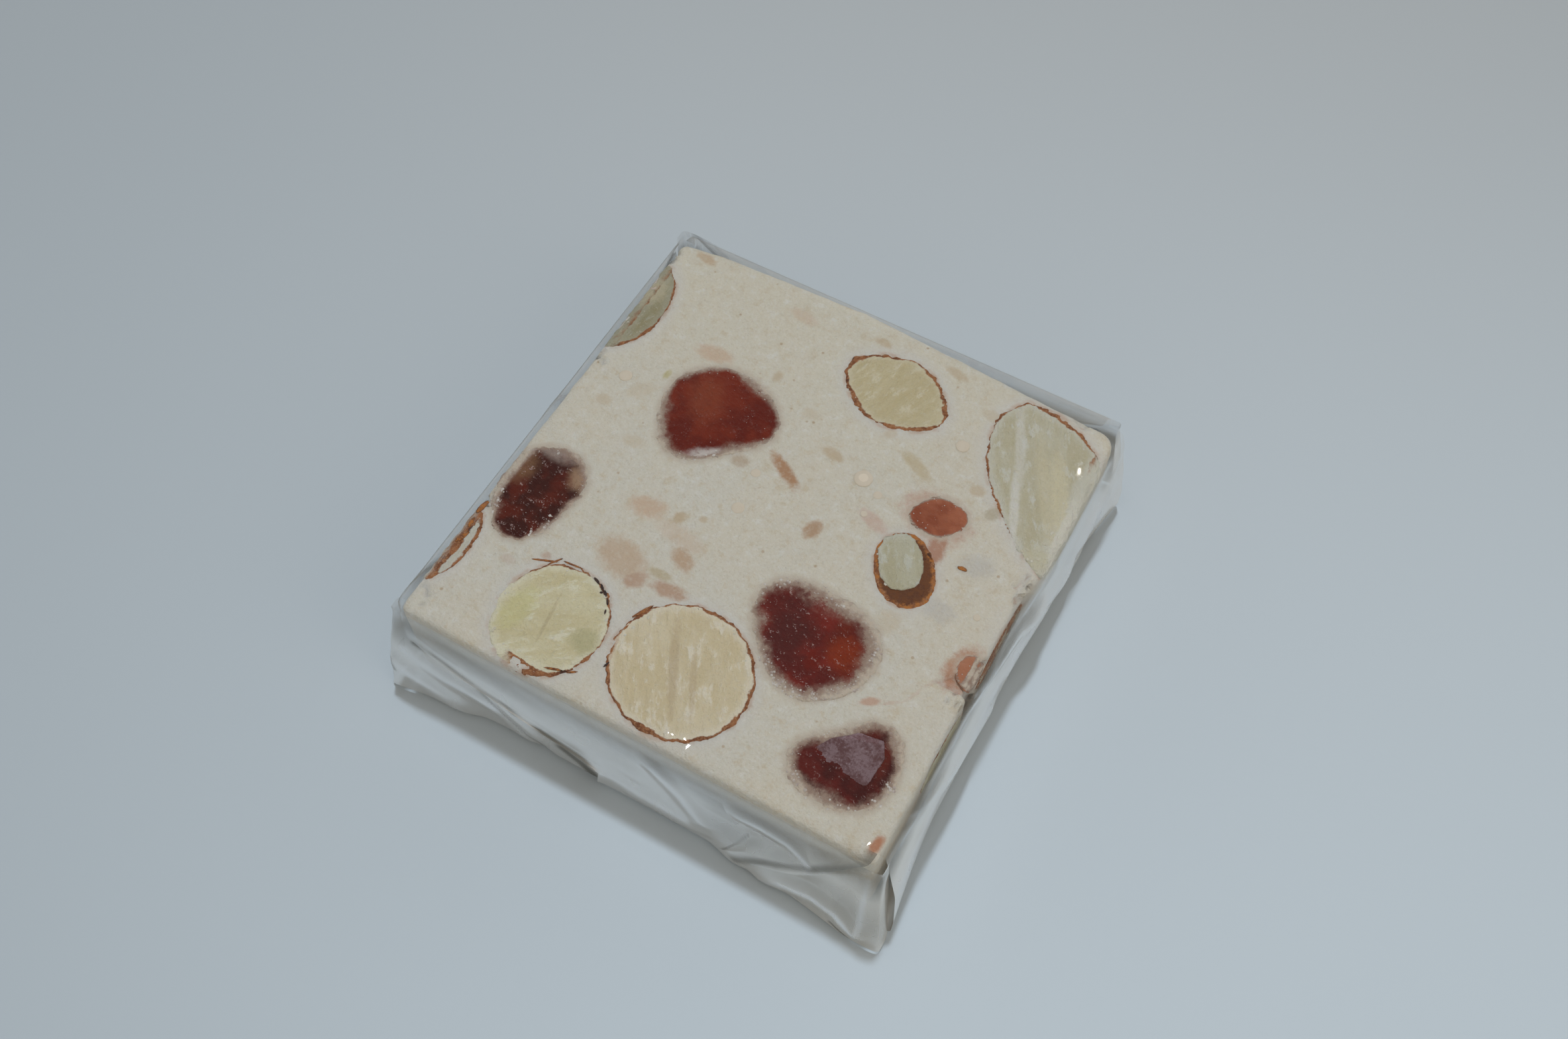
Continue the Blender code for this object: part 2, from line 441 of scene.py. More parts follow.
pick(slab, "edges", lambda e: is_corner(e) and max(v.co.z for v in e.verts) < BOTTOM + 1e-5)
bpy.ops.mesh.bevel(offset=UNDER_EDGE, segments=6, affect="EDGES")
pick(slab, "edges", is_corner)
bpy.ops.mesh.bevel(offset=EDGE, segments=4, affect="EDGES")
work_on(slab)
modify(slab, "REMESH", mode="VOXEL", voxel_size=SLAB_VOXEL)
press(slab, 15, 0.14)
press(slab, 3.2, 0.13)
press(slab, 1.1, 0.09)
press(slab, 0.5, 0.04)
print("the slab has", len(slab.data.polygons), "faces")

# %% [markdown]
# ## What is bedded in the slab
#
# Each almond and each cherry starts as a copy of its solid in the frame, so its cut face is
# where the frame puts it. The copy's loose triangles are joined first, and a voxel remesh
# turns them into an even net that can carry fibres and grain.
#
# A piece has one to three flat faces, where the knife took it. To make it a little larger
# or smaller without moving a cut face, it is scaled about a point that lies on those faces.
# The function below finds that point: for each axis it is the flat side of the piece's box
# if it has one, or else the middle.

# %% Copies and pivots
def copy_of(node, name):
    """A piece of its own from a solid of the frame, with its triangles joined."""
    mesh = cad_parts[node].data.copy()
    piece = bpy.data.objects.new(name, mesh)
    bpy.context.scene.collection.objects.link(piece)
    work_on(piece, "EDIT")
    bpy.ops.mesh.select_all(action="SELECT")
    bpy.ops.mesh.remove_doubles(threshold=0.01 * MM)
    work_on(piece)
    return piece


def cut_faces(piece):
    """The point that lies on the piece's cut faces, and which way those faces look."""
    points = coordinates(piece)
    pivot, outward = Vector(), Vector()
    for axis in range(3):
        values = points[:, axis]
        pivot[axis] = (values.min() + values.max()) / 2
        for side, way in ((values.min(), -1), (values.max(), 1)):
            if (abs(values - side) < 0.01 * MM).sum() >= 5:
                pivot[axis] = side
                outward[axis] = way
    return pivot, outward


def grow(piece, pivot, outward, amount, proud, shift=(0, 0)):
    """Makes the piece amount mm larger all round, its cut faces proud mm out of the slab."""
    size = piece.dimensions / MM
    scale = [1 + 2 * amount / side for side in size]
    work_on(piece, "EDIT")
    bpy.ops.mesh.select_all(action="SELECT")
    bpy.ops.transform.resize(value=scale, center_override=pivot)
    step = outward * proud * MM + Vector((*shift, 0)) * MM
    bpy.ops.transform.translate(value=step)
    work_on(piece)


def buried_tree(node):
    """The buried walls of a solid, for measuring how far a point is from its outline."""
    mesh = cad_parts[node].data
    outward = flat_ways[node]
    faces = []
    for face in mesh.polygons:
        flat = any(face.normal[axis] * outward[axis] > 0.99 for axis in range(3))
        if not flat:
            faces.append(tuple(face.vertices))
    return BVHTree.FromPolygons([v.co for v in mesh.vertices], faces)


pivots, flat_ways = {}, {}
for node in kernel_names + fruit_names:
    probe = copy_of(node, "probe")
    pivots[node], flat_ways[node] = cut_faces(probe)
    bpy.data.objects.remove(probe)
walls = {node: buried_tree(node) for node in kernel_names + fruit_names}
print("cut faces:", {node: tuple(int(w) for w in flat_ways[node]) for node in walls})

# %% [markdown]
# ## Spots of colour
#
# The slab has soft crumbs of fruit and nut just under its cut. The kernels have seams and
# stains, and the cherries have patches where the jelly is clear or cloudy. One patch on the
# front cherry is a painted glow, where light shines through the jelly on its lit side. All
# of these are flat, so they need colour and no shape. A spot is one line: where it is, how
# long and wide, its turn, its colour and its strength. Each point of a mesh keeps the spot
# that is nearest to it, and the material gives the spots their ragged, fading edges.

# %% Lists of spots
PEACH, TAN, PINK = (0.76, 0.57, 0.42), (0.68, 0.53, 0.35), (0.62, 0.40, 0.28)
PALE, OLIVE, GREY = (0.76, 0.66, 0.51), (0.62, 0.51, 0.32), (0.64, 0.62, 0.60)
# The orange-red glow is painted light: jelly lit through on the front cherry's lit side.
RUST, PAINTED_GLOW = (0.58, 0.34, 0.20), (0.32, 0.038, 0.005)
# x, y, length and width in mm, turn in degrees, colour, strength
CRUMBS = (
    (-1.0, 4.7, 4.8, 1.3, -32, RUST, 1.0),
    (4.5, 0.2, 2.2, 1.5, 70, (0.60, 0.40, 0.26), 0.95),
    (-10.5, -5.4, 3.6, 2.2, 10, PEACH, 0.85),
    (-7.2, -4.9, 1.6, 1.2, 60, TAN, 0.8),
    (-5.1, -4.0, 0.9, 0.8, 0, TAN, 0.6),
    (-4.6, -8.7, 2.8, 1.7, -30, (0.66, 0.46, 0.31), 0.85),
    (-6.0, -6.7, 5.4, 2.0, -10, PEACH, 0.4),
    (-9.6, -11.4, 5.6, 3.6, -20, (0.70, 0.52, 0.37), 0.75),
    (-7.4, -12.7, 2.4, 1.8, 30, PINK, 0.8),
    (-5.6, -11.1, 2.5, 1.0, 0, OLIVE, 0.7),
    (-4.0, -12.2, 3.4, 1.5, 5, PINK, 0.85),
    (2.2, 8.8, 2.3, 1.2, -10, TAN, 0.75),
    (10.0, 11.6, 4.2, 1.3, -25, (0.70, 0.58, 0.38), 0.75),
    (16.4, 11.9, 1.6, 1.2, 20, TAN, 0.6),
    (18.8, 10.2, 1.7, 1.3, 70, (0.60, 0.52, 0.38), 0.75),
    (-14.3, 13.6, 3.8, 1.9, 5, PEACH, 0.8),
    (-7.2, 14.3, 1.0, 1.4, 0, TAN, 0.6),
    (9.2, 3.9, 3.6, 1.4, -20, (0.76, 0.56, 0.47), 0.7),
    (14.3, 7.3, 6.6, 4.6, -8, (0.66, 0.38, 0.28), 0.75),
    (15.8, 4.4, 1.8, 4.4, 8, (0.56, 0.27, 0.17), 0.85),
    (-5.4, 3.6, 1.7, 1.5, 0, (0.60, 0.46, 0.33), 0.7),
    (20.0, 4.3, 3.4, 2.4, 20, GREY, 0.45),
    (19.0, -1.7, 3.2, 2.2, 0, GREY, 0.45),
    (15.4, -5.0, 2.2, 2.6, 0, PALE, 0.6),
    (-16.0, -14.7, 1.0, 0.8, 0, PINK, 0.6),
    (-19.0, -16.8, 1.6, 1.0, 0, (0.72, 0.58, 0.48), 0.5),
    (-18.5, 6.1, 3.0, 1.6, 40, PALE, 0.6),
    (-15.8, 0.4, 2.4, 1.4, 10, PALE, 0.6),
    (-21.2, 3.2, 1.7, 1.4, 0, PALE, 0.8),
    (-17.2, 9.0, 0.7, 1.2, 0, (0.66, 0.58, 0.30), 0.8),
    (-2.0, 12.0, 1.8, 1.3, 0, PALE, 0.6),
    (6.0, 13.6, 1.4, 1.0, 40, PALE, 0.7),
    (14.0, 20.6, 2.4, 1.2, -10, PALE, 0.7),
    (8.6, 23.6, 2.6, 1.0, -15, TAN, 0.6),
    (0.2, 23.5, 2.0, 1.0, -10, TAN, 0.7),
    (-8.6, 22.4, 3.2, 1.4, -10, PEACH, 0.5),
    (-21.5, 24.2, 2.4, 1.2, -10, (0.68, 0.48, 0.30), 0.7),
    (24.2, -24.4, 1.9, 0.9, 80, (0.62, 0.30, 0.18), 1.0),
    (23.5, -5.9, 4.6, 3.0, 80, (0.62, 0.33, 0.21), 0.95),
    (17.6, -12.9, 2.0, 0.8, 30, (0.70, 0.42, 0.30), 0.75),
    (19.4, -12.0, 1.8, 0.36, 35, (0.75, 0.56, 0.45), 0.5),
    (20.7, -10.5, 2.2, 0.34, 65, (0.76, 0.60, 0.50), 0.45),
    (21.6, -8.6, 2.2, 0.30, 60, (0.76, 0.60, 0.50), 0.4),
)
FLESH_SPOTS = (
    (-12.1, -20.2, 5.8, 0.34, 98, (0.60, 0.50, 0.30), 0.6),
    (-7.9, -20.5, 2.8, 2.4, 0, (0.66, 0.61, 0.37), 0.9),
    (-15.2, -20.6, 2.6, 4.8, -10, (0.78, 0.73, 0.38), 0.7),
    (-5.3, -19.6, 0.4, 5.2, 14, (0.70, 0.50, 0.36), 0.6),
    (0.6, -18.8, 0.9, 9.4, 28, (0.66, 0.52, 0.34), 0.55),
    (2.9, -19.2, 0.6, 7.0, 28, (0.68, 0.54, 0.36), 0.5),
    (17.9, 18.7, 1.0, 9.6, 24, (0.88, 0.86, 0.80), 0.6),
    (22.6, 14.6, 1.6, 13.0, 30, (0.80, 0.73, 0.53), 0.7),
    (24.4, 7.6, 2.6, 3.0, 0, (0.74, 0.69, 0.50), 0.7),
    (20.3, 12.0, 0.9, 9.0, 22, (0.90, 0.88, 0.82), 0.8),
    (25.8, 11.6, 2.2, 7.6, 4, (0.88, 0.85, 0.75), 0.85),
    (23.6, 15.0, 2.0, 10.0, 24, (0.84, 0.77, 0.56), 0.8),
    (-24.0, 17.6, 2.4, 3.6, 0, (0.70, 0.62, 0.44), 0.7),
)
JELLY_SPOTS = (
    # a painted glow on the front cherry's lit side
    (13.4, -9.8, 3.0, 3.8, 20, PAINTED_GLOW, 0.85),
    (12.2, -7.4, 1.6, 2.6, 20, (0.21, 0.022, 0.006), 0.7),
    (11.2, -11.8, 1.5, 1.9, 10, (0.20, 0.012, 0.003), 0.9),
    (7.9, -10.2, 4.4, 6.6, 10, (0.10, 0.016, 0.014), 0.8),
    (-12.2, 8.4, 3.4, 5.4, 30, (0.34, 0.075, 0.030), 0.6),
    (-8.4, 2.6, 4.6, 1.6, 32, (0.80, 0.74, 0.70), 0.9),
    (-17.6, -5.6, 2.8, 3.2, 0, (0.50, 0.33, 0.21), 0.9),
    (-21.8, -4.4, 4.4, 1.8, 0, (0.48, 0.38, 0.33), 0.8),
    (-23.6, -7.4, 2.4, 3.4, 0, (0.30, 0.16, 0.08), 0.7),
    (18.0, -16.4, 4.6, 0.9, 35, (0.13, 0.014, 0.008), 0.9),
    (21.4, -17.4, 1.0, 3.6, 6, (0.17, 0.022, 0.012), 0.8),
)


def spot_reach(points, spot):
    """1 in the middle of a spot, 0.5 on its outline and 0 at twice its size."""
    x, y, length, width, turn, _, _ = spot
    turn = math.radians(turn)
    across = points[:, 0] / MM - x
    along = points[:, 1] / MM - y
    u = (across * math.cos(turn) + along * math.sin(turn)) / (length / 2)
    v = (along * math.cos(turn) - across * math.sin(turn)) / (width / 2)
    return np.clip(1 - np.hypot(u, v) / 2, 0, 1)


def stain(piece, spots):
    """Stores each point's nearest spot: its colour, and how near and strong it is."""
    points = coordinates(piece)
    reach = np.array([spot_reach(points, spot) for spot in spots])
    nearest = reach.argmax(axis=0)
    tints = np.array([(*spot[5], spot[6]) for spot in spots])[nearest]
    on_top = points[:, 2] > TOP - 0.8 * MM
    layer = piece.data.attributes.new("spot_colour", "FLOAT_COLOR", "POINT")
    layer.data.foreach_set("color", tints.astype(np.float32).ravel())
    store(piece, "spot", np.where(on_top, reach.max(axis=0), 0))
    store(piece, "spot_strength", tints[:, 3])


def crumbed(wire, colour, ragged_size=0.8, fade=0.2):
    """The colour with the mesh's spots laid over it."""
    reach = wire.attribute("spot") + (wire.noise(ragged_size, 5, 0.7) - 0.5) * 0.6
    mottle = wire.noise(0.5, 3, 0.6).rise(0.25, 0.55) * 0.35 + 0.65
    share = reach.rise(0.5 - fade, 0.5 + fade) * wire.attribute("spot_strength") * mottle
    return share.mix(colour, wire.attribute("spot_colour", "Color"))


print(len(CRUMBS), "crumbs,", len(FLESH_SPOTS) + len(JELLY_SPOTS), "spots on the fillings")

# %% [markdown]
# ## Almonds
#
# A cut almond is a disc of cream flesh inside a brown skin that is a third of a millimetre
# thick. The flesh is fibrous: pale streaks run one way across it. The skin is torn in
# places, and it has come off altogether where the kernel was rubbed.
#
# Where the skin lies tight on the flesh, the cut is one smooth face, and a ring of colour
# at a measured distance from the outline shows it best. Where the flesh has come away, the
# skin stands by itself as a papery shell. So most almonds are one body with a ring, and
# one is two bodies: the shell, and a smaller kernel that lies to one side of it.

# %% How each almond was cut
# name: flesh tone, streak direction in degrees, width of the skin in mm, and the side that
# has none, as a direction in degrees and how far out it starts in mm
CREAM, GREEN_CREAM, GREY_CREAM = (0.84, 0.735, 0.53), (0.74, 0.67, 0.44), (0.70, 0.665, 0.535)
ALMONDS = {
    "front": ((0.88, 0.775, 0.565), -60, 0.36, None),
    "front_left": ((0.86, 0.79, 0.55), 40, 0.32, (205, 3.4)),
    "rear": ((0.76, 0.665, 0.44), 70, 0.52, None),
    "right": ((0.72, 0.68, 0.53), -62, 0.34, (-18, 2.9)),
    "left": ((0.46, 0.42, 0.28), 80, 0.30, (180, 0.8)),
    "small": ((0.67, 0.64, 0.49), 120, 0.0, None),
    "right_wall": ((0.60, 0.57, 0.40), 20, 0.14, None),
    "right_wall_near": ((0.60, 0.57, 0.40), 20, 0.14, None),
    "low_left": (GREY_CREAM, 85, 0.30, (180, 0.9)),
}
PLAIN_ALMOND = (GREEN_CREAM, 20, 0.36, None)
# name: how far the flesh stays inside the shell in mm, and its shift in mm
SHELLS = {"small": (0.85, (-0.7, 0.6))}
KERNEL_VOXEL = 0.22 * MM
SKIN_OUT, SKIN_PROUD, FLESH_PROUD = 0.13, 0.03, 0.07


def ragged(piece, size, reach):
    """Wobbles the outline sideways and leaves the heights alone."""
    press(piece, size, reach, "X")
    press(piece, size * 1.13, reach, "Y")


def measured(piece, node):
    """Stores how far each point is, in mm, from the outline of the cut."""
    tree = walls[node]
    inset = [tree.find_nearest(v.co)[3] / MM for v in piece.data.vertices]
    store(piece, "inset", inset)
    return np.array(inset)


def skin_colour(wire):
    """Brown skin: from red-brown to orange, and near black in spots."""
    patches = wire.noise(1.3, 3)
    fine = wire.noise(0.22, 3, 0.7)
    colour = patches.rise(0.35, 0.62).mix((0.24, 0.078, 0.030), (0.44, 0.175, 0.070))
    colour = fine.rise(0.46, 0.66).mix(colour, (0.56, 0.28, 0.13))
    return wire.noise(2.1, 2).rise(0.66, 0.72).mix(colour, (0.10, 0.035, 0.020))


def flesh_inputs(tone, turn, width, middle_mm, bare):
    """Cream flesh: long pale fibres one way, mealy patches, a whiter rim, and the skin."""
    dark = tuple(value * shade for value, shade in zip(tone, (0.93, 0.90, 0.82)))
    pale = tuple(min(1.0, value * shade) for value, shade in zip(tone, (1.10, 1.14, 1.28)))

    def inputs(wire):
        along = wire.turned(turn=turn, stretch=(3.5, 1, 2))
        fibres = wire.noise(0.9, 4, 0.62, along)
        broad = wire.noise(2.6, 3, 0.5, wire.turned(turn=turn, stretch=(2.4, 1, 1)))
        meal = wire.noise(0.32, 3, 0.7)
        flakes = wire.noise(1.3, 5, 0.7, wire.turned(turn=turn, stretch=(1.7, 1, 1)))
        inset = wire.attribute("inset")
        colour = (fibres * 0.45 + broad * 0.55).rise(0.40, 0.60).mix(dark, tone)
        colour = (fibres * 0.35 + flakes * 0.65).rise(0.52, 0.60).mix(colour, pale)
        rim = (inset + (flakes - 0.5) * 1.6).rise(1.1, 0.25)
        colour = (rim * 0.8).mix(colour, pale)
        colour = (meal.rise(0.55, 0.7) * 0.35).mix(colour, (0.84, 0.80, 0.70))
        colour = crumbed(wire, colour)
        ring = 0.0
        if width:
            varied = width * (wire.noise(2.4, 2).rise(0.3, 0.7) * 0.9 + 0.5)
            ragged_inset = inset + (wire.noise(0.35, 3, 0.6) - 0.5) * 0.34
            ring = (ragged_inset - varied).rise(0.07, -0.07)
            if bare:
                side = wire.turned(centre=middle_mm, turn=bare[0])
                out = wire.add("SeparateXYZ", None, {0: side}, "X") / MM
                ring = ring * (out + (flakes - 0.5) * 3).rise(bare[1] + 0.6, bare[1] - 0.6)
            colour = ring.mix(colour, skin_colour(wire))
        height = fibres * 0.5 + meal * 0.4 + flakes * 0.9
        base = {"Base Color": colour, "Roughness": 0.5 + meal * 0.2}
        base["Normal"] = wire.bump(height, 0.48, 1.0)
        base.update({"Subsurface Weight": 0.12, "Subsurface Radius": (1.0, 0.8, 0.45)})
        base["Subsurface Scale"] = 0.5 * MM
        return base

    return inputs


def skin_inputs(wire):
    """The papery, wrinkled shell: orange at its torn edge, and dark towards the kernel."""
    wrinkles = wire.noise(0.22, 3, 0.7)
    inward = (wire.attribute("inset") + (wire.noise(0.9, 4, 0.65) - 0.5) * 1.1).rise(0.25, 0.6)
    torn = wire.noise(0.5, 3).rise(0.42, 0.6).mix(skin_colour(wire), (0.62, 0.235, 0.055))
    colour = (inward * 0.85).mix(torn, (0.15, 0.050, 0.022))
    return {"Base Color": colour, "Roughness": 0.5, "Normal": wire.bump(wrinkles, 0.2)}


skin_finish = principled("almond_skin", skin_inputs)


def make_almond(node):
    """One almond: the kernel, and its shell where that stands by itself."""
    short = node.removeprefix("almond_")
    tone, turn, width, bare = ALMONDS.get(short, PLAIN_ALMOND)
    inside, shift = SHELLS.get(short, (-0.08, (0.0, 0.0)))
    flesh = copy_of(node, f"{short}_almond")
    proud = 0.14 if short in SHELLS else FLESH_PROUD
    grow(flesh, pivots[node], flat_ways[node], -inside, proud, shift)
    made = [flesh]
    if short in SHELLS:
        skin = copy_of(node, f"{short}_almond_skin")
        grow(skin, pivots[node], flat_ways[node], SKIN_OUT, SKIN_PROUD)
        made.append(skin)
    for piece in made:
        modify(piece, "REMESH", mode="VOXEL", voxel_size=KERNEL_VOXEL)
        ragged(piece, 1.1, 0.26)
        ragged(piece, 0.5, 0.2)
    press(flesh, 1.6, 0.16)
    press(flesh, 0.8, 0.14)
    press(flesh, 0.4, 0.06)
    measured(flesh, node)
    stain(flesh, FLESH_SPOTS)
    low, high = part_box(node)
    middle_mm = tuple((low[i] + high[i]) / 2 / MM for i in range(2))
    look = principled(f"{short}_flesh", flesh_inputs(tone, turn, width, middle_mm, bare))
    finish(flesh, look, "almond", node)
    for skin in made[1:]:
        press(skin, 0.5, 0.10)
        measured(skin, node)
        finish(skin, skin_finish, "almond")
    return made


# %% Make the almonds
almonds = {node: make_almond(node) for node in kernel_names}
faces = sum(len(piece.data.polygons) for made in almonds.values() for piece in made)
print("almonds:", len(almonds), "with", faces, "faces")

# %% [markdown]
# ## Candied cherries
#
# A candied cherry is dark red jelly under a crust of sugar. Where the knife went through,
# the middle is clear and deep, the sugar has spread a frosty mauve ring over the outer
# millimetre, and small pale crystals sit in the cut.
#
# The ring follows the outline, so it can't come from a plain gradient. Each point of the
# mesh stores how far it is from the outline, and the material turns that distance, upset
# by noise, into the step from frost to jelly.

# %% Cherry finishes
# name: jelly colour, its deeper colour, width of the frost in mm, how strongly its painted glints
# and sugar specks show
CHERRIES = {
    "rear": ((0.24, 0.024, 0.006), (0.17, 0.012, 0.003), 0.6, 0.10),
    "front": ((0.245, 0.021, 0.012), (0.150, 0.013, 0.009), 1.0, 0.55),
    "front_right": ((0.150, 0.014, 0.010), (0.080, 0.009, 0.008), 0.9, 0.35),
    "left": ((0.135, 0.013, 0.003), (0.062, 0.007, 0.003), 0.45, 0.6),
    "small": ((0.50, 0.165, 0.085), (0.36, 0.095, 0.045), 0.12, 0.06),
    "right_edge": ((0.60, 0.29, 0.18), (0.54, 0.23, 0.13), 0.06, 0.08),
}
PLAIN_CHERRY = ((0.14, 0.014, 0.007), (0.09, 0.009, 0.005), 0.7, 0.4)
FROST, PALE_FROST = (0.43, 0.31, 0.245), (0.71, 0.615, 0.51)


def cherry_inputs(jelly, deep, frost, glints_and_sugar):
    """Wet jelly inside with painted glints on its ripples, and a frosted rim whose width and edge
    change all the way round.
    """

    def inputs(wire):
        fine = wire.noise(0.28, 4, 0.7)
        lump = wire.noise(0.9, 3, 0.6)
        broad = wire.noise(2.6, 2)
        ripple = wire.noise(0.42, 3, 0.55, wire.turned(turn=-20, stretch=(1.8, 1, 1)))
        uneven = wire.noise(4.2, 1).rise(0.30, 0.66) * 0.9 + 0.6
        teeth = (fine - 0.5) * 1.1 + (lump - 0.5) * 1.6
        depth = wire.attribute("inset") / (uneven * frost) + teeth
        colour = broad.rise(0.42, 0.62).mix(deep, jelly)
        colour = crumbed(wire, colour, 1.2, 0.3)
        dots = wire.cells(0.5).rise(0.30, 0.08) * lump.rise(0.42, 0.58)
        colour = (dots * 0.12).mix(colour, (0.50, 0.20, 0.13))
        sugar = wire.cells(0.22).rise(0.20, 0.05) * fine.rise(0.52, 0.64)
        # Painted highlights: pale flecks on the ripple crests stand for glints on the wet jelly;
        # the sugar specks mixed in with them are real.
        painted_glints = ripple.rise(0.56, 0.66) * wire.noise(0.16, 2).rise(0.50, 0.62)
        colour = (painted_glints.most(sugar * 0.5) * glints_and_sugar).mix(colour, (0.70, 0.53, 0.50))
        colour = (depth.rise(1.9, 1.1) * 0.3).mix(colour, FROST)
        colour = depth.rise(1.3, 0.75).mix(colour, FROST)
        grey = (0.56, 0.47, 0.43)
        colour = (depth.rise(1.3, 0.4) * sugar.most(fine.rise(0.52, 0.68))).mix(colour, grey)
        colour = depth.rise(0.75, 0.0).mix(colour, PALE_FROST)
        base = {"Base Color": colour, "Roughness": 0.09 + depth.rise(1.4, 0.4) * 0.4}
        height = ripple * 1.4 + fine * 0.4 + dots * 0.3
        base["Normal"] = wire.bump(height, 0.22, 0.9)
        base["Specular IOR Level"] = 0.3
        base.update({"Subsurface Weight": 0.12, "Subsurface Radius": (1.0, 0.3, 0.2)})
        base["Subsurface Scale"] = 0.4 * MM
        return base

    return inputs


def make_cherry(node):
    """One cherry, with the distance to its outline stored on it."""
    short = node.removeprefix("cherry_")
    looks = CHERRIES.get(short, PLAIN_CHERRY)
    piece = copy_of(node, f"{short}_cherry")
    grow(piece, pivots[node], flat_ways[node], 0.15, 0.03)
    modify(piece, "REMESH", mode="VOXEL", voxel_size=KERNEL_VOXEL)
    wobble = 0.15 if short == "right_edge" else 0.4
    ragged(piece, 1.6, wobble)
    ragged(piece, 0.6, wobble * 0.75)
    press(piece, 1.4, 0.12)
    press(piece, 0.45, 0.09)
    measured(piece, node)
    stain(piece, JELLY_SPOTS)
    look = principled(f"{short}_cherry", cherry_inputs(*looks))
    return finish(piece, look, "cherry", node)


# %% Make the cherries
cherries = {node: make_cherry(node) for node in fruit_names}
print("cherries:", len(cherries))

# %% [markdown]
# ## What the fillings do to the nougat
#
# Round a cherry the nougat takes up syrup and turns greyish and see-through. Round an
# almond it is bluish white, because it has no tan crumbs there. Fruit and nut crumbs colour
# it in soft patches, where they lie just under the cut.
#
# The distances are measured on the slab's own points, like the frost on the cherries. Under
# each filling the slab also dips, so that its grain never comes up through the filling.

# %% Frost, halos and dips
FROST_REACH, HALO_REACH, DIP = 1.6 * MM, 2.0 * MM, 0.5 * MM
DIP_START = 0.28 * MM


def near_fillings(piece):
    """Stores the distance to the nearest cherry and almond, and presses in the dips."""
    normals = np.array([v.normal for v in piece.data.vertices])
    points = coordinates(piece)
    frost = np.full(len(points), FROST_REACH)
    halo = np.full(len(points), HALO_REACH)
    dip = np.zeros(len(points))
    for node in walls:
        low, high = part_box(node)
        margin = np.array([2.2 * MM] * 3)
        inside = ((points > np.array(low) - margin) & (points < np.array(high) + margin)).all(1)
        field = frost if node in fruit_names else halo
        for i in np.nonzero(inside)[0]:
            spot = Vector(points[i] - normals[i] * 0.25 * MM)
            near, normal, _, distance = walls[node].find_nearest(spot)
            if (spot - near).dot(normal) < 0:
                dip[i] = max(dip[i], min(DIP, max(0.0, distance - DIP_START) * 1.5))
                distance = 0.0
            field[i] = min(field[i], distance)
    store(piece, "frost", 1 - frost / FROST_REACH)
    store(piece, "halo", 1 - halo / HALO_REACH)
    lay(piece, points - normals * dip[:, None])


near_fillings(slab)
stain(slab, CRUMBS)
print("the slab's points know", len(CRUMBS), "crumbs and", len(walls), "fillings")

# %% [markdown]
# ## Nougat's finish
#
# Nougat is egg white and honey beaten full of air. It is warm white, waxy rather than
# dry, and light goes a little way in. Its colour isn't even: slow patches are a little
# pinker or yellower, fine tan specks of nut are all through it, and tiny white specks are
# painted as the glints of sugar grains.

# %% Nougat material
def nougat_inputs(wire):
    broad = wire.noise(9, 3)
    lump = wire.noise(1.2, 4, 0.65)
    meal = wire.noise(0.26, 3, 0.7)
    colour = broad.rise(0.35, 0.65).mix((0.835, 0.78, 0.665), (0.825, 0.79, 0.70))
    rear = wire.add("SeparateXYZ", None, {0: wire.place()}, "Y") + (broad - 0.5) * 40 * MM
    colour = (rear.rise(2 * MM, 22 * MM) * 0.6).mix(colour, (0.84, 0.78, 0.64))
    colour = (lump.rise(0.52, 0.70) * 0.75).mix(colour, (0.76, 0.66, 0.50))
    colour = (lump.rise(0.46, 0.30) * 0.75).mix(colour, (0.90, 0.88, 0.82))
    colour = (meal.rise(0.52, 0.68) * 0.6).mix(colour, (0.90, 0.87, 0.80))
    colour = (meal.rise(0.46, 0.32) * 0.5).mix(colour, (0.70, 0.63, 0.51))
    specks = wire.cells(1.7).rise(0.13, 0.05) * wire.noise(3.1).rise(0.48, 0.56)
    colour = (specks * 0.7).mix(colour, (0.56, 0.40, 0.24))
    # White specks: sugar grains in the nougat, painted bright as their glints.
    sugar_specks_and_glints = wire.cells(0.6).rise(0.11, 0.04) * wire.noise(1.9).rise(0.44, 0.56)
    colour = (sugar_specks_and_glints * 0.8).mix(colour, (0.97, 0.96, 0.93))
    halo = (wire.attribute("halo") + (lump - 0.5) * 0.8).rise(0.25, 1.0)
    colour = (halo * 0.55).mix(colour, (0.82, 0.80, 0.77))
    bleed = wire.attribute("halo").rise(0.80, 1.0) * wire.noise(1.7, 3).rise(0.42, 0.62)
    colour = (bleed * 0.55).mix(colour, (0.66, 0.42, 0.29))
    colour = crumbed(wire, colour)
    near = wire.attribute("frost") + (meal - 0.5) * 0.5 + (lump - 0.5) * 0.5
    colour = (near.rise(0.55, 1.05) * 0.85).mix(colour, PALE_FROST)
    height = lump * 0.7 + meal * 0.5
    base = {"Base Color": colour, "Roughness": 0.42 + meal * 0.25}
    base["Normal"] = wire.bump(height, 0.34, 0.9)
    base.update({"Subsurface Weight": 0.2, "Subsurface Radius": (1.0, 0.85, 0.65)})
    base["Subsurface Scale"] = 0.6 * MM
    return base


nougat_finish = principled("nougat_crumb", nougat_inputs)
finish(slab, nougat_finish, "nougat", "nougat")
print("the slab is finished")

# %% [markdown]
# ## Small things on the cut
#
# The knife leaves small things behind: sugar crystals along the cherries' rims, crumbs of
# nut at the kernels' edges, torn scraps of skin, and domes where an air bubble lies just
# under the cut. They are too small for a piece each, so each kind is one joined mesh.
#
# A grain is a coarse ball with its corners jolted, which gives the flat, glinting faces of
# a crystal. The crystals lie where the cherry's own points are close to its outline, more
# of them where a cluster is listed. A fixed seed makes every run the same.

# %% Grains
CHANCE = np.random.default_rng(7)


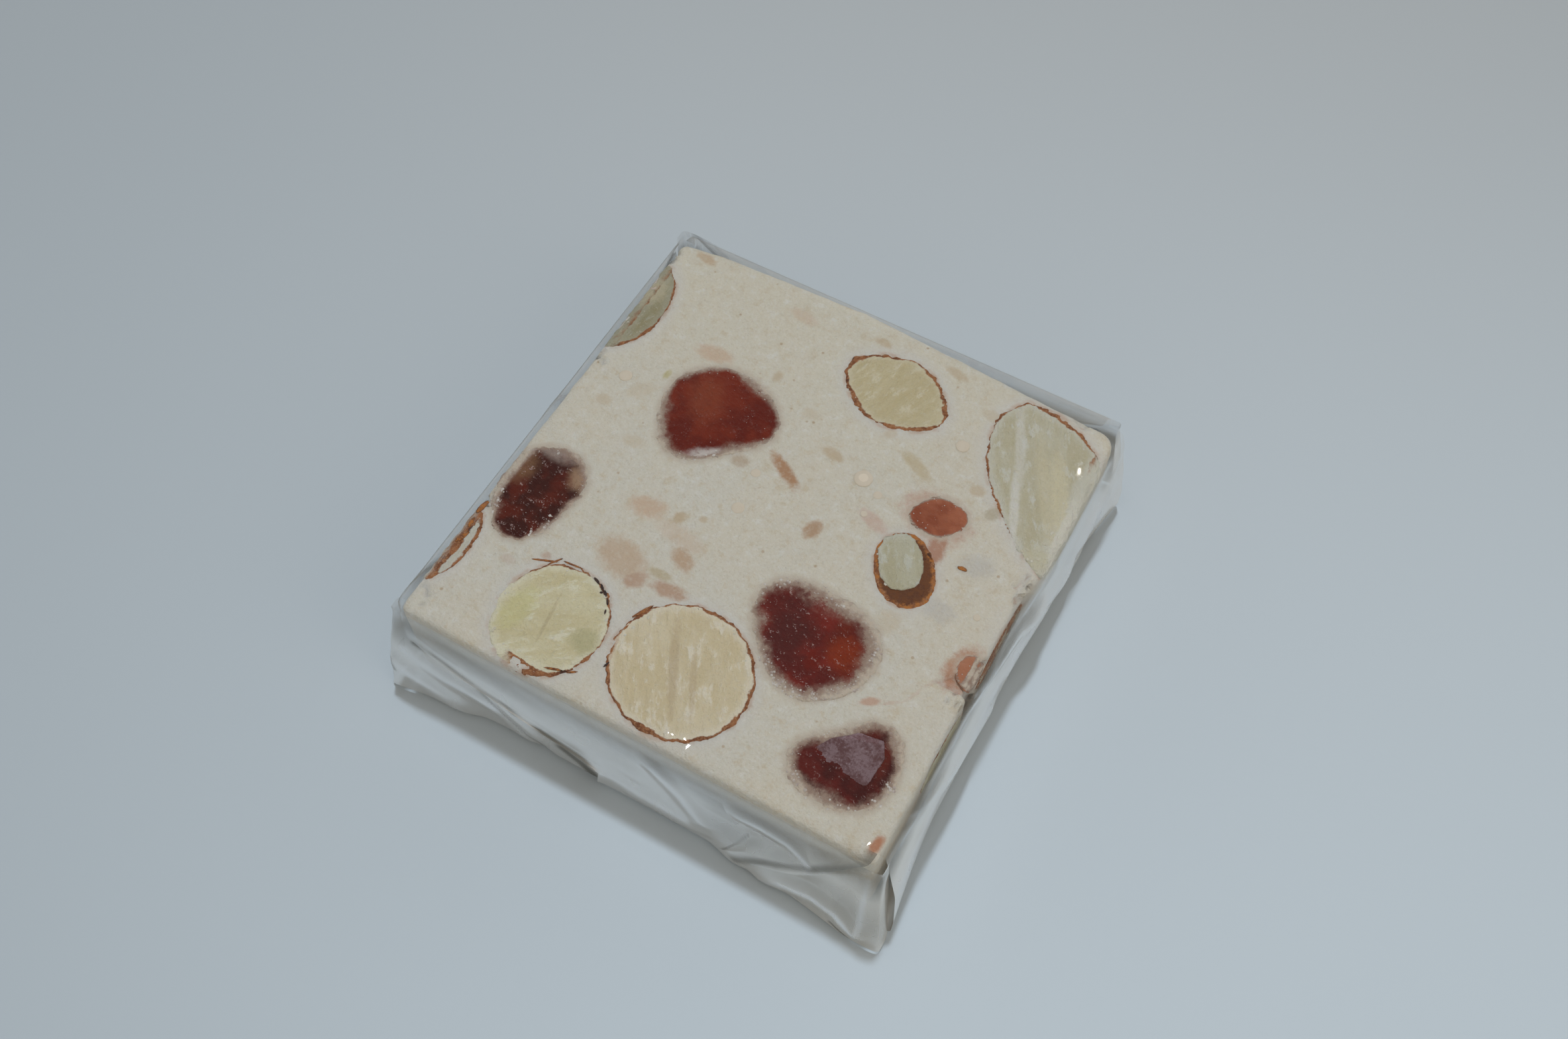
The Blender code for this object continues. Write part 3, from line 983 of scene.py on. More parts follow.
def grain_shape(fineness):
    """The corners and faces of a ball of size 1, to be copied for every grain."""
    bpy.ops.object.select_all(action="DESELECT")
    bpy.ops.mesh.primitive_ico_sphere_add(subdivisions=fineness, radius=1)
    ball = bpy.context.object
    corners = coordinates(ball)
    faces = np.array([tuple(face.vertices) for face in ball.data.polygons])
    bpy.data.objects.remove(ball)
    return corners, faces


def grains(name, spots, fineness=1, jolt=0.18):
    """One mesh of grains. A spot is x, y, z, length, width, height in metres and a turn."""
    corners, faces = grain_shape(fineness)
    spots = np.array(spots)
    shape = corners[None] * (1 + CHANCE.uniform(-jolt, jolt, (len(spots), len(corners), 1)))
    shape = shape * spots[:, None, 3:6] / 2
    c, s = np.cos(spots[:, 6])[:, None], np.sin(spots[:, 6])[:, None]
    x, y, z = np.moveaxis(shape, 2, 0)
    turned = np.stack([x * c - y * s, x * s + y * c, z], axis=2) + spots[:, None, :3]
    steps = np.arange(len(spots))[:, None, None] * len(corners)
    mesh = bpy.data.meshes.new(name)
    joined = (faces[None] + steps).reshape(-1, faces.shape[1])
    mesh.from_pydata(turned.reshape(-1, 3).tolist(), [], joined.tolist())
    piece = bpy.data.objects.new(name, mesh)
    bpy.context.scene.collection.objects.link(piece)
    return piece


def heights(piece):
    """A function that gives the height of a piece's top at x and y in mm."""
    points = [v.co for v in piece.data.vertices]
    tree = BVHTree.FromPolygons(points, [tuple(f.vertices) for f in piece.data.polygons])

    def height(x, y):
        start = Vector((x * MM, y * MM, TOP + 3 * MM))
        hit = tree.ray_cast(start, Vector((0, 0, -1)))[0]
        return hit.z if hit else TOP

    return height


def rim_points(piece, low, high):
    """The points of a cut face whose distance to the outline lies between two, in mm."""
    layer = piece.data.attributes["inset"].data
    inset = np.array([item.value for item in layer])
    points = coordinates(piece)
    inside = (inset > low) & (inset < high) & (points[:, 2] > TOP - 0.35 * MM)
    return points[inside]


def strewn(points, share, small, large, flat=0.7):
    """Grain spots on a share of the points, with sizes between two in mm."""
    chosen = points[CHANCE.random(len(points)) < share]
    size = CHANCE.uniform(small, large, len(chosen)) ** 1.0 * MM
    shape = CHANCE.uniform(0.7, 1.2, (len(chosen), 3)) * size[:, None]
    shape[:, 2] *= flat
    turn = CHANCE.uniform(0, math.pi, (len(chosen), 1))
    return np.hstack([chosen, shape, turn])


print("a coarse ball has", len(grain_shape(1)[0]), "corners")

# %% Sugar crystals on the cherries
# clusters of large crystals: x, y and radius in mm, and the share of points that have one
SUGAR_CLUSTERS = (
    (8.2, -14.4, 1.8, 0.22),
    (10.4, -14.9, 1.8, 0.30),
    (13.0, -13.8, 1.6, 0.26),
    (14.9, -12.2, 1.2, 0.18),
    (15.6, -8.0, 1.6, 0.10),
    (5.2, -7.0, 1.8, 0.08),
    (9.4, -5.2, 2.0, 0.08),
    (16.0, -22.4, 1.8, 0.12),
    (20.4, -22.8, 2.2, 0.12),
    (22.8, -20.0, 1.6, 0.14),
    (-8.6, 2.7, 2.0, 0.14),
    (-5.2, 4.6, 1.4, 0.10),
    (-18.6, -12.2, 1.8, 0.14),
    (-23.4, -12.0, 1.6, 0.12),
    (-21.6, -5.2, 1.8, 0.12),
)


def sugar_inputs(wire):
    tint = wire.noise(0.5, 2).rise(0.35, 0.65).mix((0.55, 0.45, 0.41), (0.84, 0.80, 0.76))
    return {"Base Color": tint, "Roughness": 0.22}


spots = []
for node, piece in cherries.items():
    rim = rim_points(piece, -0.1, 0.9)
    spots.append(strewn(rim, 0.07, 0.06, 0.17))
    spots.append(strewn(rim_points(piece, 0.7, 9.0), 0.02, 0.04, 0.10))
    for x, y, radius, share in SUGAR_CLUSTERS:
        close = np.hypot(rim[:, 0] / MM - x, rim[:, 1] / MM - y) < radius
        spots.append(strewn(rim[close], share, 0.12, 0.36))
crystals = grains("sugar_crystals", np.vstack(spots))
finish(crystals, principled("sugar", sugar_inputs), "cherry")
bpy.ops.object.shade_flat()
print("crystals:", sum(len(group) for group in spots))

# %% Crumbs of nut at the kernels' edges
# clusters of loose crumbs: x, y and radius in mm, and the share of points that have one
CRUMB_CLUSTERS = (
    (27.0, 13.0, 5.0, 0.05),
    (24.6, 8.4, 3.4, 0.09),
    (19.2, 20.6, 2.4, 0.04),
    (-16.8, -21.6, 3.0, 0.05),
    (-12.6, -24.6, 3.0, 0.05),
    (-5.6, -15.6, 3.4, 0.04),
    (3.0, -12.4, 4.0, 0.04),
    (13.2, -2.2, 1.8, 0.12),
    (16.6, 0.6, 1.4, 0.10),
)


def crumb_inputs(wire):
    tint = wire.noise(0.7, 2).rise(0.35, 0.65).mix((0.74, 0.69, 0.55), (0.84, 0.81, 0.72))
    return {"Base Color": tint, "Roughness": 0.5}


spots = []
for made in almonds.values():
    rim = rim_points(made[0], 0.3, 0.9)
    spots.append(strewn(rim, 0.006, 0.10, 0.28, 0.5))
    for x, y, radius, share in CRUMB_CLUSTERS:
        close = np.hypot(rim[:, 0] / MM - x, rim[:, 1] / MM - y) < radius
        spots.append(strewn(rim[close], share, 0.12, 0.40, 0.4))
crumbs = grains("nut_crumbs", np.vstack(spots), 2, 0.12)
finish(crumbs, principled("nut_crumbs", crumb_inputs), "almond")
print("crumbs of nut:", sum(len(group) for group in spots))

# %% Scraps of skin
# x, y, length and width in mm, turn in degrees
BROWN_SCRAPS = (
    (-8.8, -24.2, 1.6, 0.24, 18),
    (-7.2, -23.6, 1.0, 0.20, 34),
    (-15.8, -15.2, 2.4, 0.20, 22),
    (-14.9, -14.8, 1.5, 0.16, 55),
    (-13.2, -14.3, 2.0, 0.18, 5),
    (-12.0, -14.4, 1.2, 0.14, -25),
    (-4.9, -15.2, 2.2, 0.30, 62),
    (-5.4, -17.6, 1.8, 0.24, 80),
    (-24.4, -13.2, 1.6, 0.5, 80),
    (-24.3, -15.2, 1.2, 0.4, 95),
    (-24.1, -16.9, 1.4, 0.5, 70),
    (18.9, 3.4, 0.9, 0.4, 5),
)
DARK_SCRAPS = (
    (-10.4, -14.6, 0.8, 0.26, -25),
    (-9.6, -14.9, 0.6, 0.22, -40),
    (-8.9, -15.4, 0.7, 0.24, -48),
    (-8.3, -16.0, 0.7, 0.18, -55),
    (-7.9, -17.0, 0.5, 0.16, -70),
    (-9.3, -15.5, 0.3, 0.2, 30),
    (-0.6, -12.5, 0.5, 0.14, -20),
    (-4.9, -21.4, 0.7, 0.18, 70),
)
on_slab = heights(slab)


def scrap_spots(scraps, *pieces):
    """Grain spots for scraps: each lies on whatever is highest at its place."""
    tops = [on_slab] + [heights(piece) for piece in pieces]
    made = []
    for x, y, length, width, turn in scraps:
        z = max(top(x, y) for top in tops) + 0.02 * MM
        made.append((x * MM, y * MM, z, length * MM, width * MM, 0.16 * MM, math.radians(turn)))
    return made


def dark_inputs(wire):
    tint = wire.noise(0.3, 2).mix((0.025, 0.018, 0.018), (0.11, 0.06, 0.05))
    return {"Base Color": tint, "Roughness": 0.5}


flat_flesh = [almonds[f"almond_{short}"][0] for short in ("front_left", "low_left", "small")]
scraps = grains("skin_scraps", scrap_spots(BROWN_SCRAPS, *flat_flesh), 3, 0.22)
finish(scraps, skin_finish, "almond")
dark_scraps = grains("dark_scraps", scrap_spots(DARK_SCRAPS, *flat_flesh), 3, 0.3)
finish(dark_scraps, principled("dark_scraps", dark_inputs), "almond")
print("scraps:", len(BROWN_SCRAPS), "brown and", len(DARK_SCRAPS), "dark")

# %% Bubbles under the cut
# x, y and width in mm
BUBBLES = (
    (6.1, 7.7, 1.9),
    (8.2, 6.7, 0.9),
    (-3.4, 3.1, 1.0),
    (-2.9, -1.2, 1.3),
    (12.9, 15.9, 1.4),
    (-20.8, 6.8, 1.4),
    (22.3, -0.6, 0.7),
    (8.0, 4.2, 0.7),
)


def bubble_inputs(wire):
    tint = wire.noise(0.8, 2).mix((0.80, 0.69, 0.55), (0.83, 0.75, 0.63))
    return {"Base Color": tint, "Roughness": 0.3}


domes = []
for x, y, width in BUBBLES:
    domes.append((x * MM, y * MM, on_slab(x, y), width * MM, width * MM, width * 0.24 * MM, 0))
bubbles = grains("bubbles", domes, 4, 0.0)
for face in bubbles.data.polygons:
    face.use_smooth = True
finish(bubbles, principled("bubbles", bubble_inputs), "nougat")
print("bubbles:", len(BUBBLES))

# %% The raised facet on one cherry
# the facet's outline as x, y in mm, and how high each corner stands over the cut
FACET = (
    (14.9, -19.8, -0.04),
    (16.3, -17.7, 0.18),
    (18.2, -16.1, 0.25),
    (20.5, -15.7, 0.20),
    (21.3, -17.2, 0.16),
    (21.1, -19.9, 0.04),
    (19.7, -22.0, -0.18),
    (16.5, -21.7, -0.18),
)
bpy.ops.object.select_all(action="DESELECT")
bpy.ops.mesh.primitive_circle_add(vertices=len(FACET), radius=2 * MM, fill_type="NGON")
facet = bpy.context.object
facet.name = "front_right_facet"
base = max(v.co.z for v in cherries["cherry_front_right"].data.vertices) - 0.06 * MM
lay(facet, np.array([(x * MM, y * MM, base + z * MM) for x, y, z in FACET]))
work_on(facet, "EDIT")
bpy.ops.mesh.select_all(action="SELECT")
bpy.ops.mesh.normals_make_consistent(inside=False)
bpy.ops.mesh.extrude_region_move(TRANSFORM_OT_translate={"value": (0, 0, -0.5 * MM)})
bpy.ops.mesh.select_all(action="SELECT")
bpy.ops.mesh.normals_make_consistent(inside=False)
work_on(facet)
modify(facet, "BEVEL", width=0.08 * MM, segments=2, limit_method="NONE")
modify(facet, "REMESH", mode="VOXEL", voxel_size=0.12 * MM)
press(facet, 0.7, 0.08)
press(facet, 0.3, 0.05)


def facet_inputs(wire):
    """Dark jelly under a painted lilac sheen, colour that stands for the light the facet
    reflects.
    """
    fine = wire.noise(0.25, 3, 0.7)
    painted_sheen = wire.noise(1.4, 3) * 0.5 + fine * 0.5
    # Painted reflection: the lilac is the facet's sheen, painted into its colour.
    colour = painted_sheen.rise(0.40, 0.60).mix((0.16, 0.072, 0.076), (0.30, 0.20, 0.22))
    colour = (fine.rise(0.58, 0.70) * 0.5).mix(colour, (0.42, 0.33, 0.35))
    return {"Base Color": colour, "Roughness": 0.35, "Normal": wire.bump(fine, 0.12)}


finish(facet, principled("cherry_facet_sheen", facet_inputs), "cherry")
print("facet:", len(facet.data.polygons), "faces")

# %% [markdown]
# ## The film
#
# The film is one sheet, rolled round the bar into a tube and sealed along the underside.
# Past each end of the bar the tube is flattened: its sides fold in as gussets, and the
# top folds down over them as a flap whose edges slant in from the corners. What is left
# over stands out at the lower corners as small pointed ears.
#
# Cloth simulation could find such folds, but not these ones. So each layer is a flat grid
# that a function carries to its place: along a path for its bends, and out from it for its
# creases. A crease is a given line with a height and a reach. Where the distance to the
# line is less than the reach, the sheet rises to it like a tent.

# %% Sheets, paths and creases
def flat_sheet(name, columns, rows):
    """A flat sheet in columns and rows, and each point's share across and along it."""
    bpy.ops.object.select_all(action="DESELECT")
    bpy.ops.mesh.primitive_grid_add(x_subdivisions=columns, y_subdivisions=rows, size=1)
    sheet = bpy.context.object
    sheet.name = name
    points = coordinates(sheet)
    return sheet, points[:, 0] + 0.5, points[:, 1] + 0.5


def bent_path(corners, share, radius):
    """Points at shares 0 to 1 along a path of straight runs with rounded bends, in mm."""
    corners = np.array(corners, float)
    runs = np.hypot(*np.diff(corners, axis=0).T)
    reach = np.concatenate([[0], np.cumsum(runs)])
    fine = np.arange(0, reach[-1], 0.1)
    track = np.stack([np.interp(fine, reach, corners[:, i]) for i in range(2)], axis=1)
    window = max(1, int(radius / 0.1))
    for _ in range(2):
        padded = np.pad(track, ((window, window), (0, 0)), mode="reflect", reflect_type="odd")
        sums = np.cumsum(np.vstack([np.zeros((1, 2)), padded]), axis=0)
        width = 2 * window + 1
        track = (sums[width:] - sums[:-width]) / width
    place = share * (len(track) - 1)
    return np.stack([np.interp(place, np.arange(len(track)), track[:, i]) for i in range(2)], 1)


def line_distance(u, v, line):
    """How far each point (u, v) is from a line of given points."""
    nearest = np.full(len(u), 1e9)
    for (u0, v0), (u1, v1) in zip(line, line[1:]):
        du, dv = u1 - u0, v1 - v0
        share = np.clip(((u - u0) * du + (v - v0) * dv) / (du * du + dv * dv), 0, 1)
        nearest = np.minimum(nearest, np.hypot(u - u0 - share * du, v - v0 - share * dv))
    return nearest


def crumple(u, v, lines):
    """A sheet's rise towards its folds, and the painted highlights and painted shade along them.
    """
    rise, whitening_and_highlight, painted_shade = np.zeros((3, len(u)))
    for line, height, reach, mark, width in lines:
        distance = line_distance(u, v, line)
        rise += height * (0.5 + 0.5 * np.cos(math.pi * np.clip(distance / reach, 0, 1)))
        # A mark above 0 paints a highlight along the fold, one below 0 paints shade.
        along = np.exp(-((distance / width) ** 2))
        whitening_and_highlight = np.maximum(whitening_and_highlight, mark * along)
        painted_shade = np.maximum(painted_shade, -mark * along)
    return rise, {"whitening_and_highlight": whitening_and_highlight, "painted_shade": painted_shade}


# %% The shape that all film shares
FILM_TOP = 14.62
FILM_LOW = 0.5
SIDE = 25.5
END = 26.3
EAR, EAR_SPREAD = np.array([1.9, 1.8]), 11.0
VEIL_TOP, VEIL_FADE = 12.5, 3.2


def side_x(y, z):
    """How far out the right wall's film stands, in mm: it follows the swell of the slab."""
    swell = np.clip((y - 2.0) / 7.0, 0, 1) * 0.75
    belly = 1.15 * np.sin(np.clip((FILM_TOP - z) / 13.0, 0, 1) * math.pi * 0.75)
    return SIDE + swell + belly * (1 - swell * 0.6)


def with_ears(points):
    """Draws the lower corners out into ears, however the film got there."""
    x, y, z = points.T
    made = points.copy()
    low = np.clip((13.5 - z) / 13.0, 0, 1)
    for sx in (-1, 1):
        for sy in (-1, 1):
            away = np.hypot(x - sx * SIDE, y - sy * END)
            pull = np.clip(1 - away / EAR_SPREAD, 0, 1) ** 1.6 * low
            made[:, 0] += sx * EAR[0] * pull
            made[:, 1] += sy * EAR[1] * pull
            made[:, 2] -= np.clip(z - 0.4, 0, 1.0) * pull * 0.6
    return made


def face_outwards(sheet):
    """Turns the sheet's faces away from the middle of the bar."""
    outward = sum(f.normal.dot(f.center - middle) * f.area for f in sheet.data.polygons)
    if outward < 0:
        work_on(sheet, "EDIT")
        bpy.ops.mesh.select_all(action="SELECT")
        bpy.ops.mesh.flip_normals()
        work_on(sheet)


def film_piece(sheet, points, marks, *nodes):
    """Lays a sheet of film, in mm, with the painted highlights and shade of its creases stored on
    it.
    """
    x, y, z = points.T
    under = (z < 0.9) & (abs(x) < SIDE - 0.8) & (abs(y) < END - 1.2)
    marks["veil"] = np.clip((VEIL_TOP - z) / VEIL_FADE, 0, 1) * np.where(under, 0.12, 1.0)
    # Painted warm tint: the film's mirror colour is painted warmer towards the right side.
    marks["painted_warm_tint"] = np.clip((x - 10) / 14, 0, 1)
    lay(sheet, with_ears(points) * MM)
    face_outwards(sheet)
    for name, values in marks.items():
        store(sheet, name, values)
    finish(sheet, film_finish, "clear_film", *nodes)
    return sheet


# %% [markdown]
# ### Film as a material
#
# Seen straight on, film lets nearly everything through. Seen at a slant it turns into a
# mirror, and it has two faces, so it mirrors twice as much as a block of the same plastic.
# Down the sides it stands off the bar in several layers, each of which mirrors the pale
# table. Together they hide the nougat behind a grey, satiny veil. That is why the film
# stores how deep in the veil it is, beside the painted highlights and painted shade along
# its folds.
#
# Glass with real refraction would need a closed sheet far thinner than a pixel, and many
# bounces. Mixing a clear shader with a bright glossy one gives the same picture. The share
# of each comes from the Fresnel node. From behind, that node takes the film for the inside
# of a block, where a slanted ray is wholly mirrored, so the back side gets one of its own.

# %% Film material
HAZE = 0.012


def make_film_finish():
    made, output, wire = new_material("clear_film")
    wrinkles = wire.noise(5.0, 2, 0.4)
    normal = wire.bump(wrinkles, 0.035, 0.6)
    front = wire.add("Fresnel", None, {"IOR": 1.5, "Normal": normal})
    back = wire.add("Fresnel", None, {"IOR": 1 / 1.5, "Normal": normal})
    behind = wire.add("NewGeometry", output="Backfacing")
    mirror = (front + behind * (back - front)) * 1.8
    streaks = wire.noise(3.0, 2, 0.4, wire.turned(stretch=(1, 1, 2.5))).rise(0.25, 0.75)
    # The light marks are painted highlights along the creases, partly the whitening of creased
    # film; the dark marks are painted shade beside the folds.
    whitening_and_highlight = wire.attribute("whitening_and_highlight") * (streaks * 0.4 + 0.6)
    veil = wire.attribute("veil") * (streaks * 0.1 + 0.9)
    painted_shade = wire.attribute("painted_shade") * (streaks * 0.2 + 0.8)
    share = (mirror + HAZE + whitening_and_highlight * 0.4 + veil * 0.68).least(0.94).most(painted_shade * 0.8)
    # The mirror colour is painted warmer on the right.
    tint = wire.attribute("painted_warm_tint").mix((0.90, 0.885, 0.86), (0.95, 0.885, 0.80))
    # Painted shade darkens the film's colour, and painted highlights whiten it.
    tint = painted_shade.rise(0.0, 0.9).mix(tint, (0.19, 0.175, 0.14))
    tint = whitening_and_highlight.mix(tint, (0.97, 0.98, 1.0))
    gloss = {"Base Color": tint, "Metallic": 0.9 - veil * 0.15 - painted_shade * 0.3}
    gloss.update({"Roughness": 0.02 + veil * 0.26, "Normal": normal})
    shader = wire.add("BsdfPrincipled", None, gloss)
    clear = wire.add("BsdfTransparent")
    both = wire.add("MixShader", None, {0: share, 1: clear, 2: shader})
    made.node_tree.links.new(both.socket, output.inputs["Surface"])
    return made


film_finish = make_film_finish()
print("film:", film_finish.name)

# %% The tube round the bar
TUBE_END = 25.1
tube, around, along = flat_sheet("film_tube", 290, 100)
tube_y = (along - 0.5) * 2 * TUBE_END
tube_points = np.zeros((len(around), 3))
for y in np.unique(tube_y.round(4)):
    row = np.nonzero(abs(tube_y - y) < 1e-3)[0]
    corners = (
        (6.0, 0.75),
        (-SIDE - 0.25, FILM_LOW),
        (-SIDE, FILM_TOP),
        (float(side_x(y, FILM_TOP)), FILM_TOP),
        (float(side_x(y, 8.0)), 8.0),
        (float(side_x(y, 3.0)), 3.0),
        (float(side_x(y, 1.0)) - 0.2, FILM_LOW),
        (-6.0, 0.2),
    )
    path = bent_path(corners, around[row], 0.45)
    tube_points[row] = np.stack([path[:, 0], np.full(len(row), y), path[:, 1]], axis=1)
x, y, z = tube_points.T
wall = (z > 0.8) & (z < FILM_TOP - 0.3)
right, left = wall & (x > SIDE - 0.7), wall & (x < -SIDE + 0.7)
# each fold: its line as (y, z) in mm, its height and reach, its mark and the mark's width
# (a mark above 0 is a painted highlight, partly the whitening of creased film, and a mark
# below 0 is painted shade)
RIGHT_LINES = (
    (((-8, 14.4), (-3, 12.4), (1, 11.2), (6, 9.3)), 0.3, 1.8, 0.9, 0.2),
    (((4, 9.8), (9, 7.6), (13, 5.0), (17, 2)), 0.35, 2.4, 0.7, 0.3),
    (((-3, 10.4), (4, 7.6), (9, 5.6)), 0.0, 1.0, -0.22, 0.9),
    (((-21, 14.4), (-17, 11), (-11, 7.5), (-4, 4)), 0.25, 2.4, 0.7, 0.25),
    (((-20, 9), (-14.5, 5.5), (-8, 2.6)), 0.0, 1.0, -0.22, 0.9),
    (((24, 13), (20, 8), (17, 7)), 0.3, 2.6, -0.18, 0.9),
    (((-12, 13.4), (0, 13.0), (12, 12.4), (22, 13.2)), 0.0, 1.0, 0.8, 0.18),
    (((-23, 12.6), (-14, 13.2), (-6, 11.4)), 0.0, 1.0, 0.6, 0.25),
    (((0, 6.6), (8, 4.4), (16, 6.0), (24, 4.2)), 0.2, 2.2, 0.6, 0.25),
    # a broad painted highlight that lightens the middle of the right wall
    (((-22, 5), (-6, 7), (8, 8), (22, 7)), 0.0, 1.0, 0.8, 4.5),
)
LEFT_LINES = (
    (((-24, 13), (-15, 8), (-4, 6.5), (6, 3)), 0.6, 2.4, 0.5, 0.3),
    (((25, 12), (14, 5), (8, 2)), 0.5, 2.6, 0.5, 0.3),
    (((0, 14), (4, 10), (9, 8.5)), 0.3, 1.8, -0.5, 0.5),
)
# small dents along the near edge, which catch the light: x, y, reach and height in mm
DENTS = (
    (3.2, -24.3, 1.5, 0.24),
    (4.9, -24.0, 1.2, 0.18),
    (8.6, -24.5, 1.2, 0.04),
    (12.0, -24.5, 1.4, 0.04),
    (15.2, -24.6, 1.2, 0.05),
    (18.4, -24.4, 1.4, 0.05),
    (21.2, -24.6, 1.2, 0.05),
    (23.8, -24.2, 1.2, 0.11),
)
fade = np.clip((FILM_TOP - z) / 1.5, 0, 1)
for dent_x, dent_y, reach, height in DENTS:
    away = np.clip(np.hypot(x - dent_x, y - dent_y) / reach, 0, 1)
    tube_points[:, 2] += (z > FILM_TOP - 0.1) * height * (0.5 + 0.5 * np.cos(math.pi * away))
tube_marks = {name: np.zeros(len(x)) for name in ("whitening_and_highlight", "painted_shade")}
for where, lines, way in ((right, RIGHT_LINES, 1), (left, LEFT_LINES, -1)):
    rise, marks = crumple(y, z, lines)
    tube_points[:, 0] += np.where(where, way * rise * fade, 0)
    for name in tube_marks:
        tube_marks[name] = np.where(where, marks[name], tube_marks[name])
film_piece(tube, tube_points, tube_marks, "wrapper")
print("the tube has", len(tube.data.polygons), "faces")

# %% [markdown]
# ### The folded ends
#
# Each end has two layers. The gusset goes right round the end from one side wall to the
# other. The flap comes over the top edge, hangs down in front of the gusset, and is tucked
# under the bar. Its left and right edges are the slanting folds: they catch the light, and
# a thin painted highlight runs along them as well.

# %% The two ends
FLAP_LEFT = ((15, -24.9), (14, -24.2), (11.5, -23.5), (10, -21), (8.8, -18), (7.4, -14))
FLAP_LEFT += ((6.2, -10), (5, -4), (4.6, -2.8), (0, -3.6))
FLAP_RIGHT = ((15, 25), (11.5, 22), (8.7, 20), (6, 18), (4.2, 16), (2.7, 14), (0, 11.6))
FOLD_LEFT = tuple((x, z) for z, x in FLAP_LEFT)
FOLD_RIGHT = tuple((x, z) for z, x in FLAP_RIGHT)
# each fold: its line as (x, z) in mm, its height and reach, its mark and the mark's width
# (a mark above 0 is a painted highlight, partly the whitening of creased film, and a mark
# below 0 is painted shade)
GUSSET_LINES = (
    # a broad painted shade over the right half of the end
    (((12, 9), (19, 6.5), (25, 5)), 0.0, 1.0, -0.42, 5.5),
    (((-23, 10.6), (-20, 9.6), (-16.4, 7.8)), 0.0, 1.0, -0.9, 0.35),
    (((-14, 7.2), (-12.6, 5.9), (-10, 5.2)), 0.0, 1.0, -0.9, 0.3),
    (((-9.5, 5.2), (-7, 4.6), (-4.8, 4.2)), 0.0, 1.0, -1.0, 0.9),
    (((-7.5, 3.4), (-5.6, 2.2), (-4.4, 0.8)), 0.0, 1.0, -1.0, 0.9),
    (((-16.5, 7), (-13.2, 3.6), (-10, 0.3)), -0.2, 1.4, -0.6, 0.3),
    (((-24, 9), (-20, 6.5), (-14, 4.5), (-12, 2.3)), 0.35, 2.8, 0.5, 0.6),
    (((-25.4, 6), (-22, 3.4), (-19, 0.4)), 0.4, 2.6, 0.6, 0.5),
    (((-25.6, 6.4), (-25.2, 4.2)), 0.0, 1.0, -0.7, 0.3),
    (((24.6, 14.6), (20.4, 10), (16, 5), (12, 1.6)), 0.25, 2.6, -0.7, 0.7),
    (((15, 0.5), (17, 2.3), (19.5, 3.5), (22, 3.5), (23.8, 2.3)), 0.4, 2.0, 0.8, 0.35),
    (((21.7, 1.3), (23, 0.7), (23.7, -0.5)), 0.0, 1.0, -0.9, 0.3),
    (((24.8, 13), (24.4, 8), (24.1, 3)), 0.3, 1.4, 0.5, 0.25),
    (((12, 0.3), (17, 0.8), (22, 0.6)), 0.7, 5.0, 0.0, 1.0),
)
FLAP_LINES = (
    # a broad painted shade over the right half of the flap
    (((11, 6), (16, 8), (24, 11)), 0.0, 1.0, -0.40, 4.0),
    (((24.6, 14.6), (20.4, 10), (16, 5), (12, 1.6)), 0.0, 1.0, -0.7, 0.7),
    (((-21, 10.4), (-16.4, 8.3), (-12, 7.1)), 0.0, 1.0, -0.5, 0.3),
    (((-10, 6.3), (-4.6, 5.2), (-3.6, 4.8)), 0.0, 1.0, -0.8, 0.3),
    (((-4.6, 4.8), (-4.2, 2), (-3.4, 0.4)), 0.0, 1.0, -0.8, 0.35),
    (((-24.2, 13.4), (-18, 10.4), (-8, 7.8), (0, 7.2)), 0.2, 3.0, 0.0, 1.0),
    (((3, 10.8), (6, 8), (8, 5)), 0.25, 2.0, 0.5, 0.5),
    (((12, 10.6), (14, 10.8), (17, 10.6), (19, 9.2)), 0.2, 1.8, 0.5, 0.4),
    (((12.8, 9.6), (16, 9.6)), 0.0, 1.0, -0.5, 0.35),
    (((13.2, 8.4), (12, 5), (10.2, 1)), 0.2, 1.4, -0.6, 0.22),
    (((-3, 5), (1, 3.4), (6, 3.2)), 0.2, 2.6, 0.3, 0.8),
    (((0, 2), (5, 1), (9, 2.4)), 0.0, 1.0, -0.35, 0.7),
)
